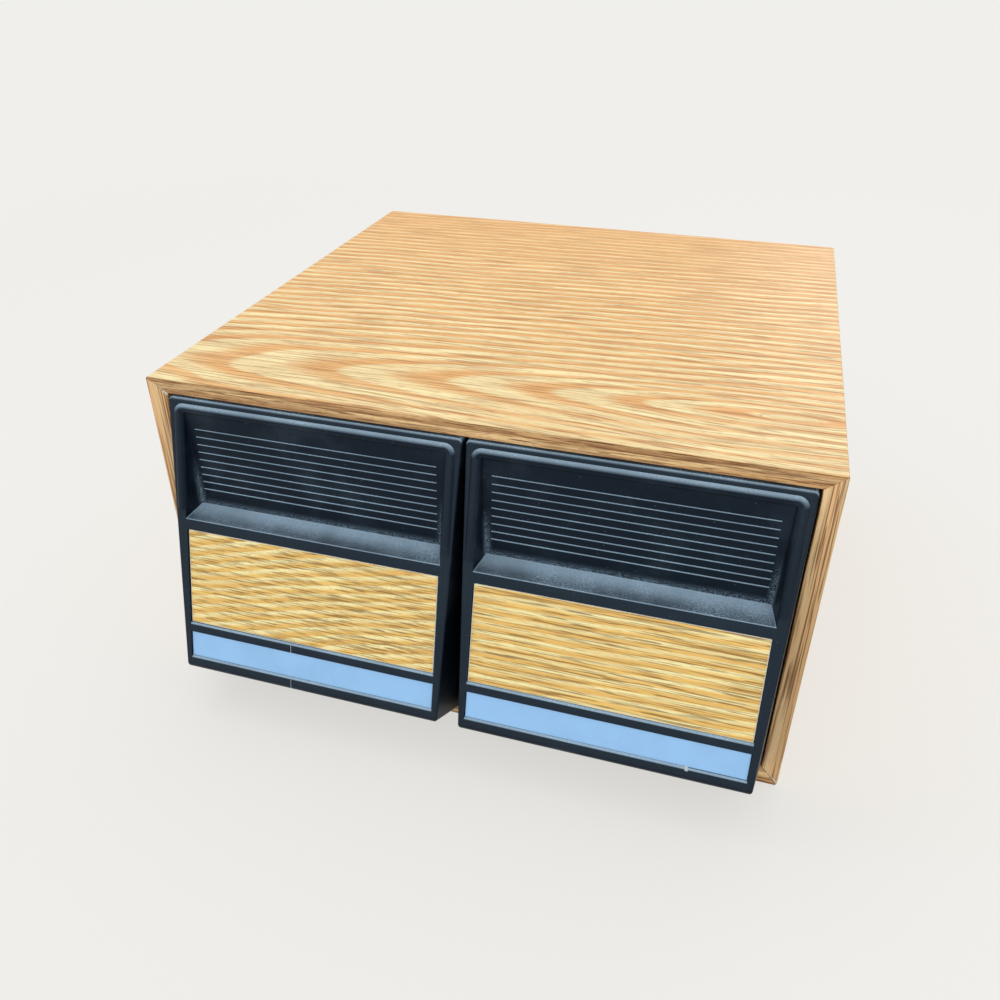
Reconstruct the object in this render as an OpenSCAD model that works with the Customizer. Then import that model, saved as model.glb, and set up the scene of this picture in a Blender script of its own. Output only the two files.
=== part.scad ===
// Tabletop storage unit with two drawers for disc cases.
// Millimetres. X runs to the right, the drawers open towards -Y and Z is up.
// The origin is the middle of the footprint at the level of the underside.

/* [Cabinet] */
// Outside width of the cabinet
cabinet_w = 300; // [280:1:360]
// Depth of the cabinet from its front edge to its back edge
cabinet_d = 288; // [220:1:360]
// Height of the cabinet
cabinet_h = 168; // [164:1:190]
// Thickness of the folded board
board_t = 8; // [6:0.5:10]
// How far the bevelled front edge of the board falls back across its thickness
edge_bevel = 2; // [0.5:0.5:4]

/* [Back panel] */
// Thickness of the back panel
back_t = 3; // [2:0.5:5]
// How far the back panel lies in from the back edge of the cabinet
back_inset = 1.6; // [1.2:0.1:4]
// Width of the rebate that the back panel lies in
rebate_w = 4; // [3:0.5:5]
// Gap between the back panel and the walls of its rebate
back_fit = 0.3; // [0.1:0.1:0.6]
// Radius of a nail's shank
nail_r = 0.6; // [0.4:0.1:0.8]
// Radius of a nail's head
nail_head_r = 1.5; // [1.2:0.1:1.8]
// Thickness of a nail's head
nail_head_t = 0.7; // [0.4:0.1:1]
// Gap between a nail's shank and its hole
nail_fit = 0.08; // [0.05:0.01:0.15]
// How far a nail goes into the board behind the back panel
nail_bite = 11; // [6:1:18]
// Number of nails along the top and the bottom edge
nails_across = 4; // [2:1:7]
// Number of nails along each upright edge
nails_up = 2; // [2:1:5]

/* [Divider and stops] */
// Thickness of the centre divider
divider_t = 6; // [4:0.5:9]
// Depth of the grooves that the divider stands in
groove_depth = 2; // [1:0.5:3]
// Gap between the divider and the walls of its grooves
groove_fit = 0.1; // [0.05:0.05:0.3]
// Gap between a closed front and the front edge of the divider
closing_gap = 0.3; // [0.2:0.1:1]
// Thickness of a stop batten
batten_t = 4.5; // [3:0.5:6]
// Width of a stop batten along the cabinet's depth
batten_w = 12; // [8:1:20]
// How far a stop batten lies behind a closed front
batten_setback = 3; // [2:0.5:10]
// Gap between a stop batten's ends and the tray's side walls
batten_end_gap = 2; // [1:0.5:4]

/* [Glides] */
// Radius of a glide's head
glide_r = 6; // [4:0.5:8]
// Height of a glide's head above the board
glide_h = 1.2; // [0.8:0.1:2]
// Radius of a glide's shank
glide_shank_r = 1; // [0.8:0.1:1.4]
// Length of a glide's shank
glide_shank_l = 5; // [3:0.5:5.5]
// Gap between a glide's shank and its hole
glide_fit = 0.1; // [0.05:0.05:0.2]
// Distance between the two glides under one tray
glide_spacing = 84; // [60:1:90]
// Distance from the back of a closed front to the middle of the glides
glide_setback = 10; // [9:1:30]

/* [Drawer front] */
// Angle that the face leans out from upright towards its lower edge
face_lean = 14; // [8:1:16]
// How far the face's top edge lies behind the cabinet's front edge
top_setback = 1.8; // [0.4:0.2:4]
// Height of the face's lower corner above the board
lip_rise = 17.5; // [12:0.5:24]
// How far the front reaches back into the cabinet
skirt_depth = 12; // [10:0.5:18]
// Wall thickness of the moulding
front_wall = 3; // [2.6:0.2:3.6]
// Gap between a front and the cabinet at its sides
side_gap = 0.8; // [0.5:0.1:1.4]
// Gap between a front and the cabinet above and below it
level_gap = 1; // [0.6:0.1:1.6]
// How much narrower the front is at each side of its lower edge
nose_taper = 4.4; // [2:0.2:6]
// Radius of the rounded lower edge
lip_r = 3; // [1:0.5:4]
// Radius of the rounded top edge
brow_r = 1.6; // [0.5:0.1:2]
// Radius of the front's four corners
corner_r = 2.4; // [1:0.2:4]

/* [Finger recess] */
// Width of the flat band outside the raised bead
band_w = 3.2; // [2:0.2:5]
// Radius of the raised bead
bead_r = 1.7; // [1:0.1:2]
// How far the bead's centre line lies below the face
bead_sink = 0.6; // [0.2:0.1:0.9]
// Flat land between the bead and the recess
bead_land = 0.3; // [0.2:0.1:1]
// Radius of the bead's corners along its centre line
bead_corner_r = 3.6; // [2.5:0.1:6]
// Height of the recess opening along the face
recess_h = 51.4; // [40:0.2:60]
// Depth of the sill from its front edge to the back of the recess
sill_depth = 11; // [8:0.5:11.5]
// How much the sill falls towards its front edge
sill_fall = 2.4; // [0.5:0.1:4]
// Angle that the back of the recess leans from upright
recess_lean = 3; // [0:0.5:5]
// Slope of the recess's side walls
recess_draft = 14; // [6:1:20]
// Wall thickness behind the recess
recess_wall = 2.4; // [1.8:0.1:3]
// Number of grip ribs in the recess
rib_count = 9; // [3:1:10]
// Distance between grip ribs
rib_pitch = 3.9; // [2.5:0.1:4]
// Radius of a grip rib
rib_r = 0.55; // [0.3:0.05:0.9]
// Distance from the top of the recess to the first rib
rib_drop = 8.4; // [4:0.2:10]
// Distance from the recess opening's side to a rib's end
rib_inset = 5.4; // [4:0.2:8]

/* [Insert and label strip] */
// Width of the rail between the sill and the insert panel
brow_rail = 5.4; // [3:0.2:8]
// Width of the rail between the insert panel and the label strip
mid_rail = 4.9; // [3:0.1:8]
// Width of the rail below the label strip
lip_rail = 6.6; // [5:0.2:9]
// Height of the label strip
strip_h = 13.4; // [8:0.2:18]
// Width of the frame beside the label strip
stile_w = 2.8; // [2:0.2:4]
// Thickness of the insert panel
insert_t = 1.2; // [0.8:0.1:1.4]
// Thickness of the label strip
strip_t = 1; // [0.6:0.1:1.2]
// How far the insert panel and the label strip lie below the face
panel_sink = 0.7; // [0.2:0.1:1]
// Gap round the insert panel and the label strip
panel_fit = 0.15; // [0.05:0.05:0.3]
// Width of the bevel on the upper edge of the lower two rails
rail_bevel = 1.5; // [0.6:0.1:2]

/* [Tray] */
// Thickness of the tray's walls
tray_wall = 2.2; // [1.6:0.1:3]
// Thickness of the tray's floor
tray_floor = 2.4; // [1.6:0.1:3]
// Gap between the tray and the sides of its bay
tray_side_gap = 0.8; // [0.5:0.1:1.5]
// Gap between the tray and the back panel
tray_back_gap = 2; // [1:0.5:6]
// Running gap under the tray and its glides
slide_gap = 0.3; // [0.2:0.1:0.5]
// Height of the tray's side walls above its floor
tray_side_h = 90; // [60:1:110]
// Gap between the tray's front wall and the level of the stop batten
tray_front_gap = 4; // [2:0.5:10]
// Gap between the tray's back wall and the top panel
tray_top_gap = 0.8; // [0.5:0.1:1.5]
// Length over which the side walls rise to the end walls
gusset_l = 34; // [15:1:60]
// Distance between the ridges on the tray's floor
ridge_pitch = 12.2; // [10:0.2:16]
// Thickness of a floor ridge
ridge_t = 1.4; // [0.8:0.1:2]
// Height of a floor ridge
ridge_h = 2.2; // [1:0.1:4]
// Radius of the two feet under the back of the tray
foot_r = 4; // [3:0.5:6]
// Distance from the tray's side to the middle of a foot
foot_inset = 7; // [6.5:0.5:9]

/* [Screws] */
// Radius of a screw's shank
screw_r = 1.4; // [1.2:0.1:1.6]
// Gap between a screw's shank and its hole
screw_fit = 0.1; // [0.05:0.05:0.2]
// Radius of a screw's head
screw_head_r = 2.8; // [2.4:0.1:3.4]
// Height of a screw's head
screw_head_h = 1.7; // [1.2:0.1:2]
// How far a screw goes into its boss
screw_bite = 5.5; // [4:0.5:6]
// Radius of a screw boss
boss_r = 3.6; // [3:0.1:4.5]
// Distance between the two columns of screws
screw_spacing = 92; // [70:1:100]
// Height of the lower screws above the board
screw_low = 40; // [36:1:46]
// Height of the upper screws above the board
screw_high = 118; // [106:1:124]

/* [Hidden] */
$fn = 48;

// Overshoot of a cut past the face that it opens
cut = 1;
// Straight steps that draw one rounded corner of an outline
arc_steps = 6;
LEFT = -1;
RIGHT = 1;

oak = "BurlyWood";
pine = "Wheat";
hardboard = "SaddleBrown";
navy = "MidnightBlue";
pale_blue = "LightSkyBlue";
steel = "Silver";
nylon = "Ivory";

// Openings of the cabinet and the places of what fills them
floor_z = board_t;
ceiling_z = cabinet_h - board_t;
rebate_d = back_inset + back_t;
back_face_y = cabinet_d - rebate_d;
bay_w = (cabinet_w - 2 * board_t - divider_t) / 2;
bay_x = (bay_w + divider_t) / 2;
divider_y = skirt_depth + closing_gap;

// The front seen from its side
front_pitch = (cabinet_w - 2 * board_t) / 2;
front_x = front_pitch / 2;
front_w = front_pitch - 2 * side_gap;
face_top_z = ceiling_z - level_gap;
skirt_z = floor_z + level_gap;
lip_z = floor_z + lip_rise;
lip_y = top_setback - (face_top_z - lip_z) * tan(face_lean);
face_l = (face_top_z - lip_z) / cos(face_lean);

// Distances down the face from its top edge
bead_line = band_w + bead_r;
recess_top = bead_line + bead_r + bead_land;
sill_line = recess_top + recess_h;
insert_top = sill_line + brow_rail;
strip_bottom = face_l - lip_rail;
strip_top = strip_bottom - strip_h;
insert_bottom = strip_top - mid_rail;
recess_half_w = front_w / 2 - recess_top;
panel_half_w = front_w / 2 - nose_taper - stile_w;

// Tray
tray_w = bay_w - 2 * tray_side_gap;
tray_z = floor_z + glide_h + slide_gap;
tray_in_z = tray_z + tray_floor;
tray_back_y = back_face_y - tray_back_gap;
tray_back_z = ceiling_z - tray_top_gap;
tray_front_z = ceiling_z - batten_t - tray_front_gap;
tray_side_z = tray_in_z + tray_side_h;
tray_in_l = tray_back_y - skirt_depth - 2 * tray_wall;
tray_in_w = tray_w - 2 * tray_wall;
batten_l = tray_in_w - 2 * batten_end_gap;
ridge_count = floor(tray_in_l / ridge_pitch);

// A point on the face, as [y, z], by its distance down from the top edge
function face_point(d) = [top_setback - d * sin(face_lean), face_top_z - d * cos(face_lean)];

// Outward normal of the edge from a to b of an outline that runs anticlockwise
function edge_normal(a, b) = [b.y - a.y, a.x - b.x] / norm(b - a);

// Centre of a round of radius r in the corner q between p and s
function round_center(p, q, s, r) =
    let (n1 = edge_normal(p, q), n2 = edge_normal(q, s))
    q - r * (n1 + n2) / (1 + n1 * n2);

// The corner q, rounded to radius r
function round_corner(p, q, s, r) =
    let (
        n1 = edge_normal(p, q),
        n2 = edge_normal(q, s),
        a1 = atan2(n1.y, n1.x),
        turn = asin(n1.x * n2.y - n1.y * n2.x),
        sweep = n1 * n2 < 0 ? 180 - turn : turn
    )
    [for (i = [0:arc_steps])
        round_center(p, q, s, r) + r * [cos(a1 + sweep * i / arc_steps), sin(a1 + sweep * i / arc_steps)]];

// An outline moved inwards by d
function inset(points, d) =
    let (n = len(points))
    [for (i = [0:n - 1]) round_center(points[(i + n - 1) % n], points[i], points[(i + 1) % n], d)];

// Side outline of a front as [y, z], anticlockwise from its lower corner
function front_corners(depth) = [
    [lip_y, lip_z],
    [0, skirt_z],
    [depth, skirt_z],
    [depth, face_top_z],
    [top_setback, face_top_z]
];

// The same outline with its lower and top edges rounded
function front_outline(depth) =
    let (c = front_corners(depth))
    concat(
        round_corner(c[4], c[0], c[1], lip_r),
        [c[1], c[2], c[3]],
        round_corner(c[3], c[4], c[0], brow_r)
    );

// Plan of a front as [x, y], anticlockwise, narrowing towards its lower edge
function front_plan(depth) = [
    [-front_w / 2 + nose_taper, lip_y],
    [front_w / 2 - nose_taper, lip_y],
    [front_w / 2, top_setback],
    [front_w / 2, depth],
    [-front_w / 2, depth],
    [-front_w / 2, top_setback]
];

// The same plan with its two front corners rounded
function rounded_plan(depth) =
    let (c = front_plan(depth))
    concat(
        round_corner(c[5], c[0], c[1], corner_r),
        round_corner(c[0], c[1], c[2], corner_r),
        [c[2], c[3], c[4], c[5]]
    );

// A front seen from before it as [x, z], anticlockwise, with its two top corners rounded
function front_elevation() =
    let (
        half_w = front_w / 2,
        c = [[-half_w, 0], [half_w, 0], [half_w, face_top_z], [-half_w, face_top_z]]
    )
    concat(
        [c[0], c[1]],
        round_corner(c[1], c[2], c[3], corner_r),
        round_corner(c[2], c[3], c[0], corner_r)
    );

// Side outline of the finger recess as [y, z], open to the front
sill_front = face_point(sill_line);
sill_back = sill_front + [sill_depth, sill_fall];
roof_z = face_point(recess_top).y;
roof_back = [sill_back.x + (roof_z - sill_back.y) * tan(recess_lean), roof_z];
recess_reach = sill_depth;
recess_outline = [
    sill_front - recess_reach * [1, sill_fall / sill_depth],
    sill_back,
    roof_back,
    [sill_front.x - recess_reach, roof_z]
];

// Plan of the recess across the face as [x, distance out from the face], anticlockwise
recess_deep = 2 * sill_depth;
recess_narrowing = recess_deep * tan(recess_draft);
recess_plan = [
    [-recess_half_w + recess_narrowing, -recess_deep],
    [recess_half_w - recess_narrowing, -recess_deep],
    [recess_half_w, 0],
    [recess_half_w, recess_deep],
    [-recess_half_w, recess_deep],
    [-recess_half_w, 0]
];

// The cabinet's front edge lies this far back of the middle of the footprint
nose_reach = lip_r - round_center(
    front_corners(skirt_depth)[4],
    front_corners(skirt_depth)[0],
    front_corners(skirt_depth)[1],
    lip_r
).x;
front_edge_y = (nose_reach - cabinet_d) / 2;

// Places what is drawn with y measured from the cabinet's front edge
module in_cabinet() {
    translate([0, front_edge_y, 0]) children();
}

// An outline given as [y, z], drawn out along X to both sides of the middle
module across(width, outline) {
    rotate([90, 0, 90]) linear_extrude(width, center = true) polygon(outline);
}

// Places what is drawn on the face, with y up the face from its top edge and z out of it
module on_face() {
    translate([0, top_setback, face_top_z]) rotate([90 - face_lean, 0, 0]) children();
}

// A cut in the face between two distances down from its top edge
module face_pocket(half_w, top, bottom, depth) {
    on_face() translate([-half_w, -bottom, -depth]) cube([2 * half_w, bottom - top, depth + cut]);
}

// Where the nails stand along an edge of the given length
function nail_places(length, count) =
    let (span = length - 4 * board_t)
    [for (i = [0:count - 1]) span * ((i + 0.5) / count - 0.5)];

// A row of shafts along Y at the nails of one edge, drawn on a panel lying outer face up
module nail_row(length, count, r, from_y, to_y) {
    for (x = nail_places(length, count))
        translate([x, from_y, rebate_w / 2 - board_t]) rotate([-90, 0, 0]) cylinder(r = r, h = to_y - from_y);
}

// One folded panel of the cabinet, lying outer face up along X, mitred at both ends
module folded_panel(length, nails) {
    outline = [
        [0, 0],
        [edge_bevel, -board_t],
        [back_face_y, -board_t],
        [back_face_y, rebate_w - board_t],
        [cabinet_d, rebate_w - board_t],
        [cabinet_d, 0]
    ];
    mitre = [
        [-length / 2, 0],
        [length / 2, 0],
        [length / 2 - board_t, -board_t],
        [-length / 2 + board_t, -board_t]
    ];
    difference() {
        intersection() {
            across(length, outline);
            translate([0, cabinet_d, 0]) rotate([90, 0, 0]) linear_extrude(cabinet_d) polygon(mitre);
        }
        nail_row(length, nails, nail_r + nail_fit, back_face_y - nail_bite - cut, back_face_y + cut);
    }
}

// Puts what is drawn on a panel lying outer face up where the four panels are
module at_top() { translate([0, 0, cabinet_h]) children(); }
module at_bottom() { rotate([0, 180, 0]) children(); }
module at_left() { translate([-cabinet_w / 2, 0, cabinet_h / 2]) rotate([0, -90, 0]) children(); }
module at_right() { translate([cabinet_w / 2, 0, cabinet_h / 2]) rotate([0, 90, 0]) children(); }

// Groove for the divider in the inner face of a panel lying outer face up
module divider_groove() {
    half_w = divider_t / 2 + groove_fit;
    translate([-half_w, divider_y - groove_fit, -board_t - cut])
        cube([2 * half_w, cabinet_d - divider_y, groove_depth + cut]);
}

module top_panel() {
    color(oak) in_cabinet() at_top() difference() {
        folded_panel(cabinet_w, nails_across);
        divider_groove();
    }
}

module bottom_panel() {
    color(oak) in_cabinet() difference() {
        at_bottom() difference() {
            folded_panel(cabinet_w, nails_across);
            divider_groove();
        }
        for (side = [LEFT, RIGHT])
            glide_places(side) translate([0, 0, -glide_shank_l - cut / 2])
                cylinder(r = glide_shank_r + glide_fit, h = glide_shank_l + cut);
    }
}

module left_side_panel() { color(oak) in_cabinet() at_left() folded_panel(cabinet_h, nails_up); }
module right_side_panel() { color(oak) in_cabinet() at_right() folded_panel(cabinet_h, nails_up); }

module center_divider() {
    height = ceiling_z - floor_z + 2 * groove_depth;
    color(oak) in_cabinet() translate([-divider_t / 2, divider_y, floor_z - groove_depth])
        cube([divider_t, back_face_y - divider_y, height]);
}

// One thing drawn on all four panels, across the top and bottom and up the sides
module nails_all_round(r, from_y, to_y) {
    at_top() nail_row(cabinet_w, nails_across, r, from_y, to_y);
    at_bottom() nail_row(cabinet_w, nails_across, r, from_y, to_y);
    at_left() nail_row(cabinet_h, nails_up, r, from_y, to_y);
    at_right() nail_row(cabinet_h, nails_up, r, from_y, to_y);
}

module back_panel() {
    width = cabinet_w - 2 * (board_t - rebate_w + back_fit);
    height = cabinet_h - 2 * (board_t - rebate_w + back_fit);
    color(hardboard) in_cabinet() difference() {
        translate([-width / 2, back_face_y, (cabinet_h - height) / 2]) cube([width, back_t, height]);
        nails_all_round(nail_r + nail_fit, back_face_y - cut, cabinet_d);
    }
}

module back_nails() {
    color(steel) in_cabinet() {
        nails_all_round(nail_r, back_face_y - nail_bite, back_face_y + back_t + nail_head_t / 2);
        nails_all_round(nail_head_r, back_face_y + back_t, back_face_y + back_t + nail_head_t);
    }
}

// Strip of wood under the top panel that the tray's back wall meets when it is pulled out
module stop_batten(side) {
    color(pine) in_cabinet()
        translate([side * bay_x - batten_l / 2, skirt_depth + batten_setback, ceiling_z - batten_t])
            cube([batten_l, batten_w, batten_t]);
}

// The two glides of one bay stand here on the bottom panel
module glide_places(side) {
    for (x = [-glide_spacing / 2, glide_spacing / 2])
        translate([side * bay_x + x, skirt_depth + glide_setback, floor_z]) children();
}

module glides(side) {
    color(nylon) in_cabinet() glide_places(side) {
        rotate_extrude() polygon([
            [0, 0], [glide_r, 0], [glide_r, glide_h / 3], [glide_r - glide_h, glide_h], [0, glide_h]
        ]);
        translate([0, 0, -glide_shank_l]) cylinder(r = glide_shank_r, h = glide_shank_l + glide_h / 2);
    }
}

// Outer form of a front, before anything is cut into it
module front_block() {
    intersection() {
        across(front_w, front_outline(skirt_depth));
        linear_extrude(cabinet_h) polygon(rounded_plan(skirt_depth));
        translate([0, skirt_depth, 0]) rotate([90, 0, 0])
            linear_extrude(skirt_depth - lip_y) polygon(front_elevation());
    }
}

// Hollow inside a front, open at its back
module front_hollow() {
    depth = skirt_depth + front_wall + cut;
    intersection() {
        across(front_w, inset(front_corners(depth), front_wall));
        linear_extrude(cabinet_h) polygon(inset(front_plan(depth), front_wall));
    }
}

// Finger recess, grown by a wall thickness on every side
module recess_block(wall) {
    intersection() {
        across(front_w, inset(recess_outline, -wall));
        on_face() rotate([90, 0, 0]) linear_extrude(2 * face_l, center = true) polygon(inset(recess_plan, -wall));
    }
}

// Raised bead that frames the top and the sides of the finger recess
module bead() {
    half_w = front_w / 2 - bead_line;
    run = sill_line - bead_line - bead_corner_r;
    on_face() translate([0, -bead_line, -bead_sink]) {
        rotate([0, 90, 0]) cylinder(r = bead_r, h = 2 * (half_w - bead_corner_r), center = true);
        for (side = [LEFT, RIGHT]) {
            translate([side * half_w, -bead_corner_r - run, 0]) rotate([-90, 0, 0]) cylinder(r = bead_r, h = run);
            translate([side * (half_w - bead_corner_r), -bead_corner_r, 0]) rotate([0, 0, side > 0 ? 0 : 90])
                rotate_extrude(angle = 90) translate([bead_corner_r, 0]) circle(r = bead_r);
        }
    }
}

// Fine ribs across the back of the finger recess
module grip_ribs() {
    for (i = [0:rib_count - 1]) {
        drop = rib_drop + i * rib_pitch;
        translate([0, roof_back.x - drop * sin(recess_lean), roof_back.y - drop * cos(recess_lean)])
            rotate([0, 90, 0]) cylinder(r = rib_r, h = 2 * (recess_half_w - rib_inset), center = true, $fn = 24);
    }
}

// Sloping cut along the upper edge of a rail that starts at a distance down the face
module rail_bevel_cut(top) {
    on_face() translate([0, -top, 0]) rotate([90, 0, 90]) linear_extrude(2 * panel_half_w, center = true)
        polygon([[cut, -panel_sink], [0, -panel_sink], [-rail_bevel, 0], [-rail_bevel, cut], [cut, cut]]);
}

// The four screws of one front stand here, on the back of the front
module screw_places() {
    for (x = [-screw_spacing / 2, screw_spacing / 2], z = [screw_low, screw_high])
        translate([x, skirt_depth, floor_z + z]) rotate([90, 0, 0]) children();
}

module drawer_front(side) {
    boss_l = skirt_depth - lip_y;
    color(navy) in_cabinet() translate([side * front_x, 0, 0]) {
        difference() {
            union() {
                difference() {
                    front_block();
                    front_hollow();
                }
                intersection() {
                    front_block();
                    union() {
                        recess_block(recess_wall);
                        screw_places() cylinder(r = boss_r, h = boss_l);
                    }
                }
                bead();
            }
            recess_block(0);
            face_pocket(panel_half_w, insert_top, insert_bottom, insert_t + panel_sink);
            face_pocket(panel_half_w, strip_top, strip_bottom, strip_t + panel_sink);
            rail_bevel_cut(insert_bottom);
            rail_bevel_cut(strip_bottom);
            screw_places() translate([0, 0, -cut])
                cylinder(r = screw_r + screw_fit, h = screw_bite + 2 * cut);
        }
        grip_ribs();
    }
}

// A thin panel lying in a pocket of the face
module face_panel(side, top, bottom, thickness) {
    in_cabinet() translate([side * front_x, 0, 0]) on_face()
        translate([panel_fit - panel_half_w, panel_fit - bottom, -thickness - panel_sink])
            cube([2 * (panel_half_w - panel_fit), bottom - top - 2 * panel_fit, thickness]);
}

module wood_insert(side) { color(oak) face_panel(side, insert_top, insert_bottom, insert_t); }
module label_strip(side) { color(pale_blue) face_panel(side, strip_top, strip_bottom, strip_t); }

// Side outline of a tray as [y, z]: low side walls that rise to the end walls
function tray_outline() = [
    [skirt_depth, tray_z],
    [tray_back_y, tray_z],
    [tray_back_y, tray_back_z],
    [tray_back_y - tray_wall, tray_back_z],
    [tray_back_y - tray_wall - gusset_l, tray_side_z],
    [skirt_depth + tray_wall + gusset_l, tray_side_z],
    [skirt_depth + tray_wall, tray_front_z],
    [skirt_depth, tray_front_z]
];

module tray_shell() {
    difference() {
        across(tray_w, tray_outline());
        translate([-tray_in_w / 2, skirt_depth + tray_wall, tray_in_z]) cube([tray_in_w, tray_in_l, cabinet_h]);
    }
}

module tray_ridges() {
    first_y = skirt_depth + tray_wall + (tray_in_l - (ridge_count - 1) * ridge_pitch) / 2;
    for (i = [0:ridge_count - 1])
        translate([-tray_in_w / 2, first_y + i * ridge_pitch - ridge_t / 2, tray_in_z - tray_floor / 2])
            cube([tray_in_w, ridge_t, ridge_h + tray_floor / 2]);
}

module tray_feet() {
    for (x = [foot_inset - tray_w / 2, tray_w / 2 - foot_inset])
        translate([x, tray_back_y - foot_r - tray_wall, tray_z - glide_h])
            cylinder(r = foot_r, h = glide_h + tray_floor / 2);
}

module drawer_tray(side) {
    color(navy) in_cabinet() difference() {
        translate([side * bay_x, 0, 0]) {
            tray_shell();
            tray_ridges();
            tray_feet();
        }
        translate([side * front_x, 0, 0]) screw_places() translate([0, 0, -tray_wall - cut])
            cylinder(r = screw_r + screw_fit, h = tray_wall + 2 * cut);
    }
}

module front_screws(side) {
    color(steel) in_cabinet() translate([side * front_x, 0, 0]) screw_places() {
        translate([0, 0, -tray_wall - screw_head_h / 2])
            cylinder(r = screw_r, h = tray_wall + screw_head_h / 2 + screw_bite);
        translate([0, 0, -tray_wall - screw_head_h]) cylinder(r = screw_head_r, h = screw_head_h);
    }
}

top_panel();
bottom_panel();
left_side_panel();
right_side_panel();
center_divider();
back_panel();
back_nails();
stop_batten(LEFT);  // left_stop_batten
stop_batten(RIGHT);  // right_stop_batten
glides(LEFT);  // left_glides
glides(RIGHT);  // right_glides
drawer_front(LEFT);  // left_drawer_front
wood_insert(LEFT);  // left_wood_insert
label_strip(LEFT);  // left_label_strip
drawer_tray(LEFT);  // left_drawer_tray
front_screws(LEFT);  // left_front_screws
drawer_front(RIGHT);  // right_drawer_front
wood_insert(RIGHT);  // right_wood_insert
label_strip(RIGHT);  // right_label_strip
drawer_tray(RIGHT);  // right_drawer_tray
front_screws(RIGHT);  // right_front_screws
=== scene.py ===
"""Looks of a tabletop cabinet with two drawers for disc cases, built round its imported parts."""

import math
from contextlib import contextmanager

import bmesh
import bpy
from bpy.props import FloatProperty, FloatVectorProperty, IntProperty, PointerProperty
from mathutils import Euler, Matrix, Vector


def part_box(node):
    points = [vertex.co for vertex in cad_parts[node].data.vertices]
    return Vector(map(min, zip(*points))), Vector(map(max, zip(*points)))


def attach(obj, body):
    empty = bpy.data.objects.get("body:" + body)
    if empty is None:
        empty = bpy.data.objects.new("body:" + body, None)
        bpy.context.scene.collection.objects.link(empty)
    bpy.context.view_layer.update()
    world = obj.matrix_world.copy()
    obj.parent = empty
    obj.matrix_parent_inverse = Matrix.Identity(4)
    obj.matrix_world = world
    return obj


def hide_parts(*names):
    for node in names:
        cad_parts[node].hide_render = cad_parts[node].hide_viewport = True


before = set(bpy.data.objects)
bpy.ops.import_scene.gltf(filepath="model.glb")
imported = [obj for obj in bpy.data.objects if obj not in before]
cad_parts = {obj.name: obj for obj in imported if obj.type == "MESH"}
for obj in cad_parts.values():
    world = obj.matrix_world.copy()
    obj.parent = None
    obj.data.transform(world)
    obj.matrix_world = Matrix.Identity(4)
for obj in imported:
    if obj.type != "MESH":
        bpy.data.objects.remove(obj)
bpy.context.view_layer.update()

bl_info = {
    "name": "Disc Case Cabinet",
    "version": (1, 0, 0),
    "blender": (4, 5, 0),
    "location": "View3D > Sidebar > Disc Cabinet",
    "description": "Builds the visible pieces and finishes of a two-drawer cabinet for disc cases",
    "category": "Object",
}

MM = 0.001
X_AXIS = Vector((1, 0, 0))
Y_AXIS = Vector((0, 1, 0))
Z_AXIS = Vector((0, 0, 1))
SIDES = {"left": -1, "right": 1}
UPRIGHT = (0, math.radians(90), 0)

# Material slots of a board
FILM, EDGE_FILM, BARE, CUT = range(4)

# Soft lights: where each stands, what it looks at, its width and its depth, in metres
LIGHTS = {
    "key": ((-0.3, 0.25, 1.2), (0, 0, 0.1), 1.4, 0.3),
    "fill": ((0.35, -1.35, 0.95), (0, 0, 0.08), 1.4, 1.0),
    "rim": ((0.6, 1.65, 0.85), (0.1, 0.0, 0.17), 1.0, 0.9),
}

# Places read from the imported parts
CABINET_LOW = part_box("bottom_panel")[0]
CABINET_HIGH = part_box("top_panel")[1]
BOARD = CABINET_HIGH.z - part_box("top_panel")[0].z
BACK_LOW, BACK_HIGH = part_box("back_panel")
FRONT_LOW, FRONT_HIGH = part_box("left_drawer_front")
FRONT_X = (FRONT_LOW.x + FRONT_HIGH.x) / 2
FRONT_HALF = (FRONT_HIGH.x - FRONT_LOW.x) / 2
FRONT_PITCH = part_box("right_drawer_front")[0].x - FRONT_LOW.x
SCREW_LOW, SCREW_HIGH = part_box("left_front_screws")


def srgb(red, green, blue):
    """A colour given from 0 to 255, as Blender's linear light."""
    shares = [value / 255 for value in (red, green, blue)]
    return [s / 12.92 if s <= 0.04045 else ((s + 0.055) / 1.055) ** 2.4 for s in shares]


def length(name, description, millimetres):
    """A size given in millimetres that a user may change."""
    return FloatProperty(
        name=name, description=description, default=millimetres * MM,
        min=0, unit="LENGTH", subtype="DISTANCE", precision=5,
    )


def angle(name, description, degrees):
    """An angle that a user may change."""
    return FloatProperty(
        name=name, description=description, default=math.radians(degrees),
        unit="ROTATION", subtype="ANGLE",
    )


def colour(name, description, *red_green_blue):
    """A colour that a user may change."""
    return FloatVectorProperty(
        name=name, description=description, default=srgb(*red_green_blue),
        size=3, min=0, max=1, subtype="COLOR",
    )


def number(name, description, value, **limits):
    """A number that a user may change."""
    return FloatProperty(name=name, description=description, default=value, **limits)


def position(name, description, *metres):
    """A place that a user may change."""
    return FloatVectorProperty(
        name=name, description=description, default=metres, unit="LENGTH", subtype="TRANSLATION",
    )


class BoardSizes(bpy.types.PropertyGroup):
    """Sizes of the folded boards."""

    edge_fall: length("Edge fall", "How far the sloping front edge falls back across the board", 2)
    fold_round: length("Fold rounding", "Radius of the four long folds", 0.9)
    edge_round: length("Edge rounding", "Radius of the front and back edges", 0.5)
    mitre_gap: length("Mitre gap", "Half width of the open line along a mitre", 0.28)
    chip_width: length("Chip width", "Width of a missing sliver of film at a mitre", 2.4)
    chip_depth: length("Chip depth", "Depth of the missing sliver of film", 0.5)


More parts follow.
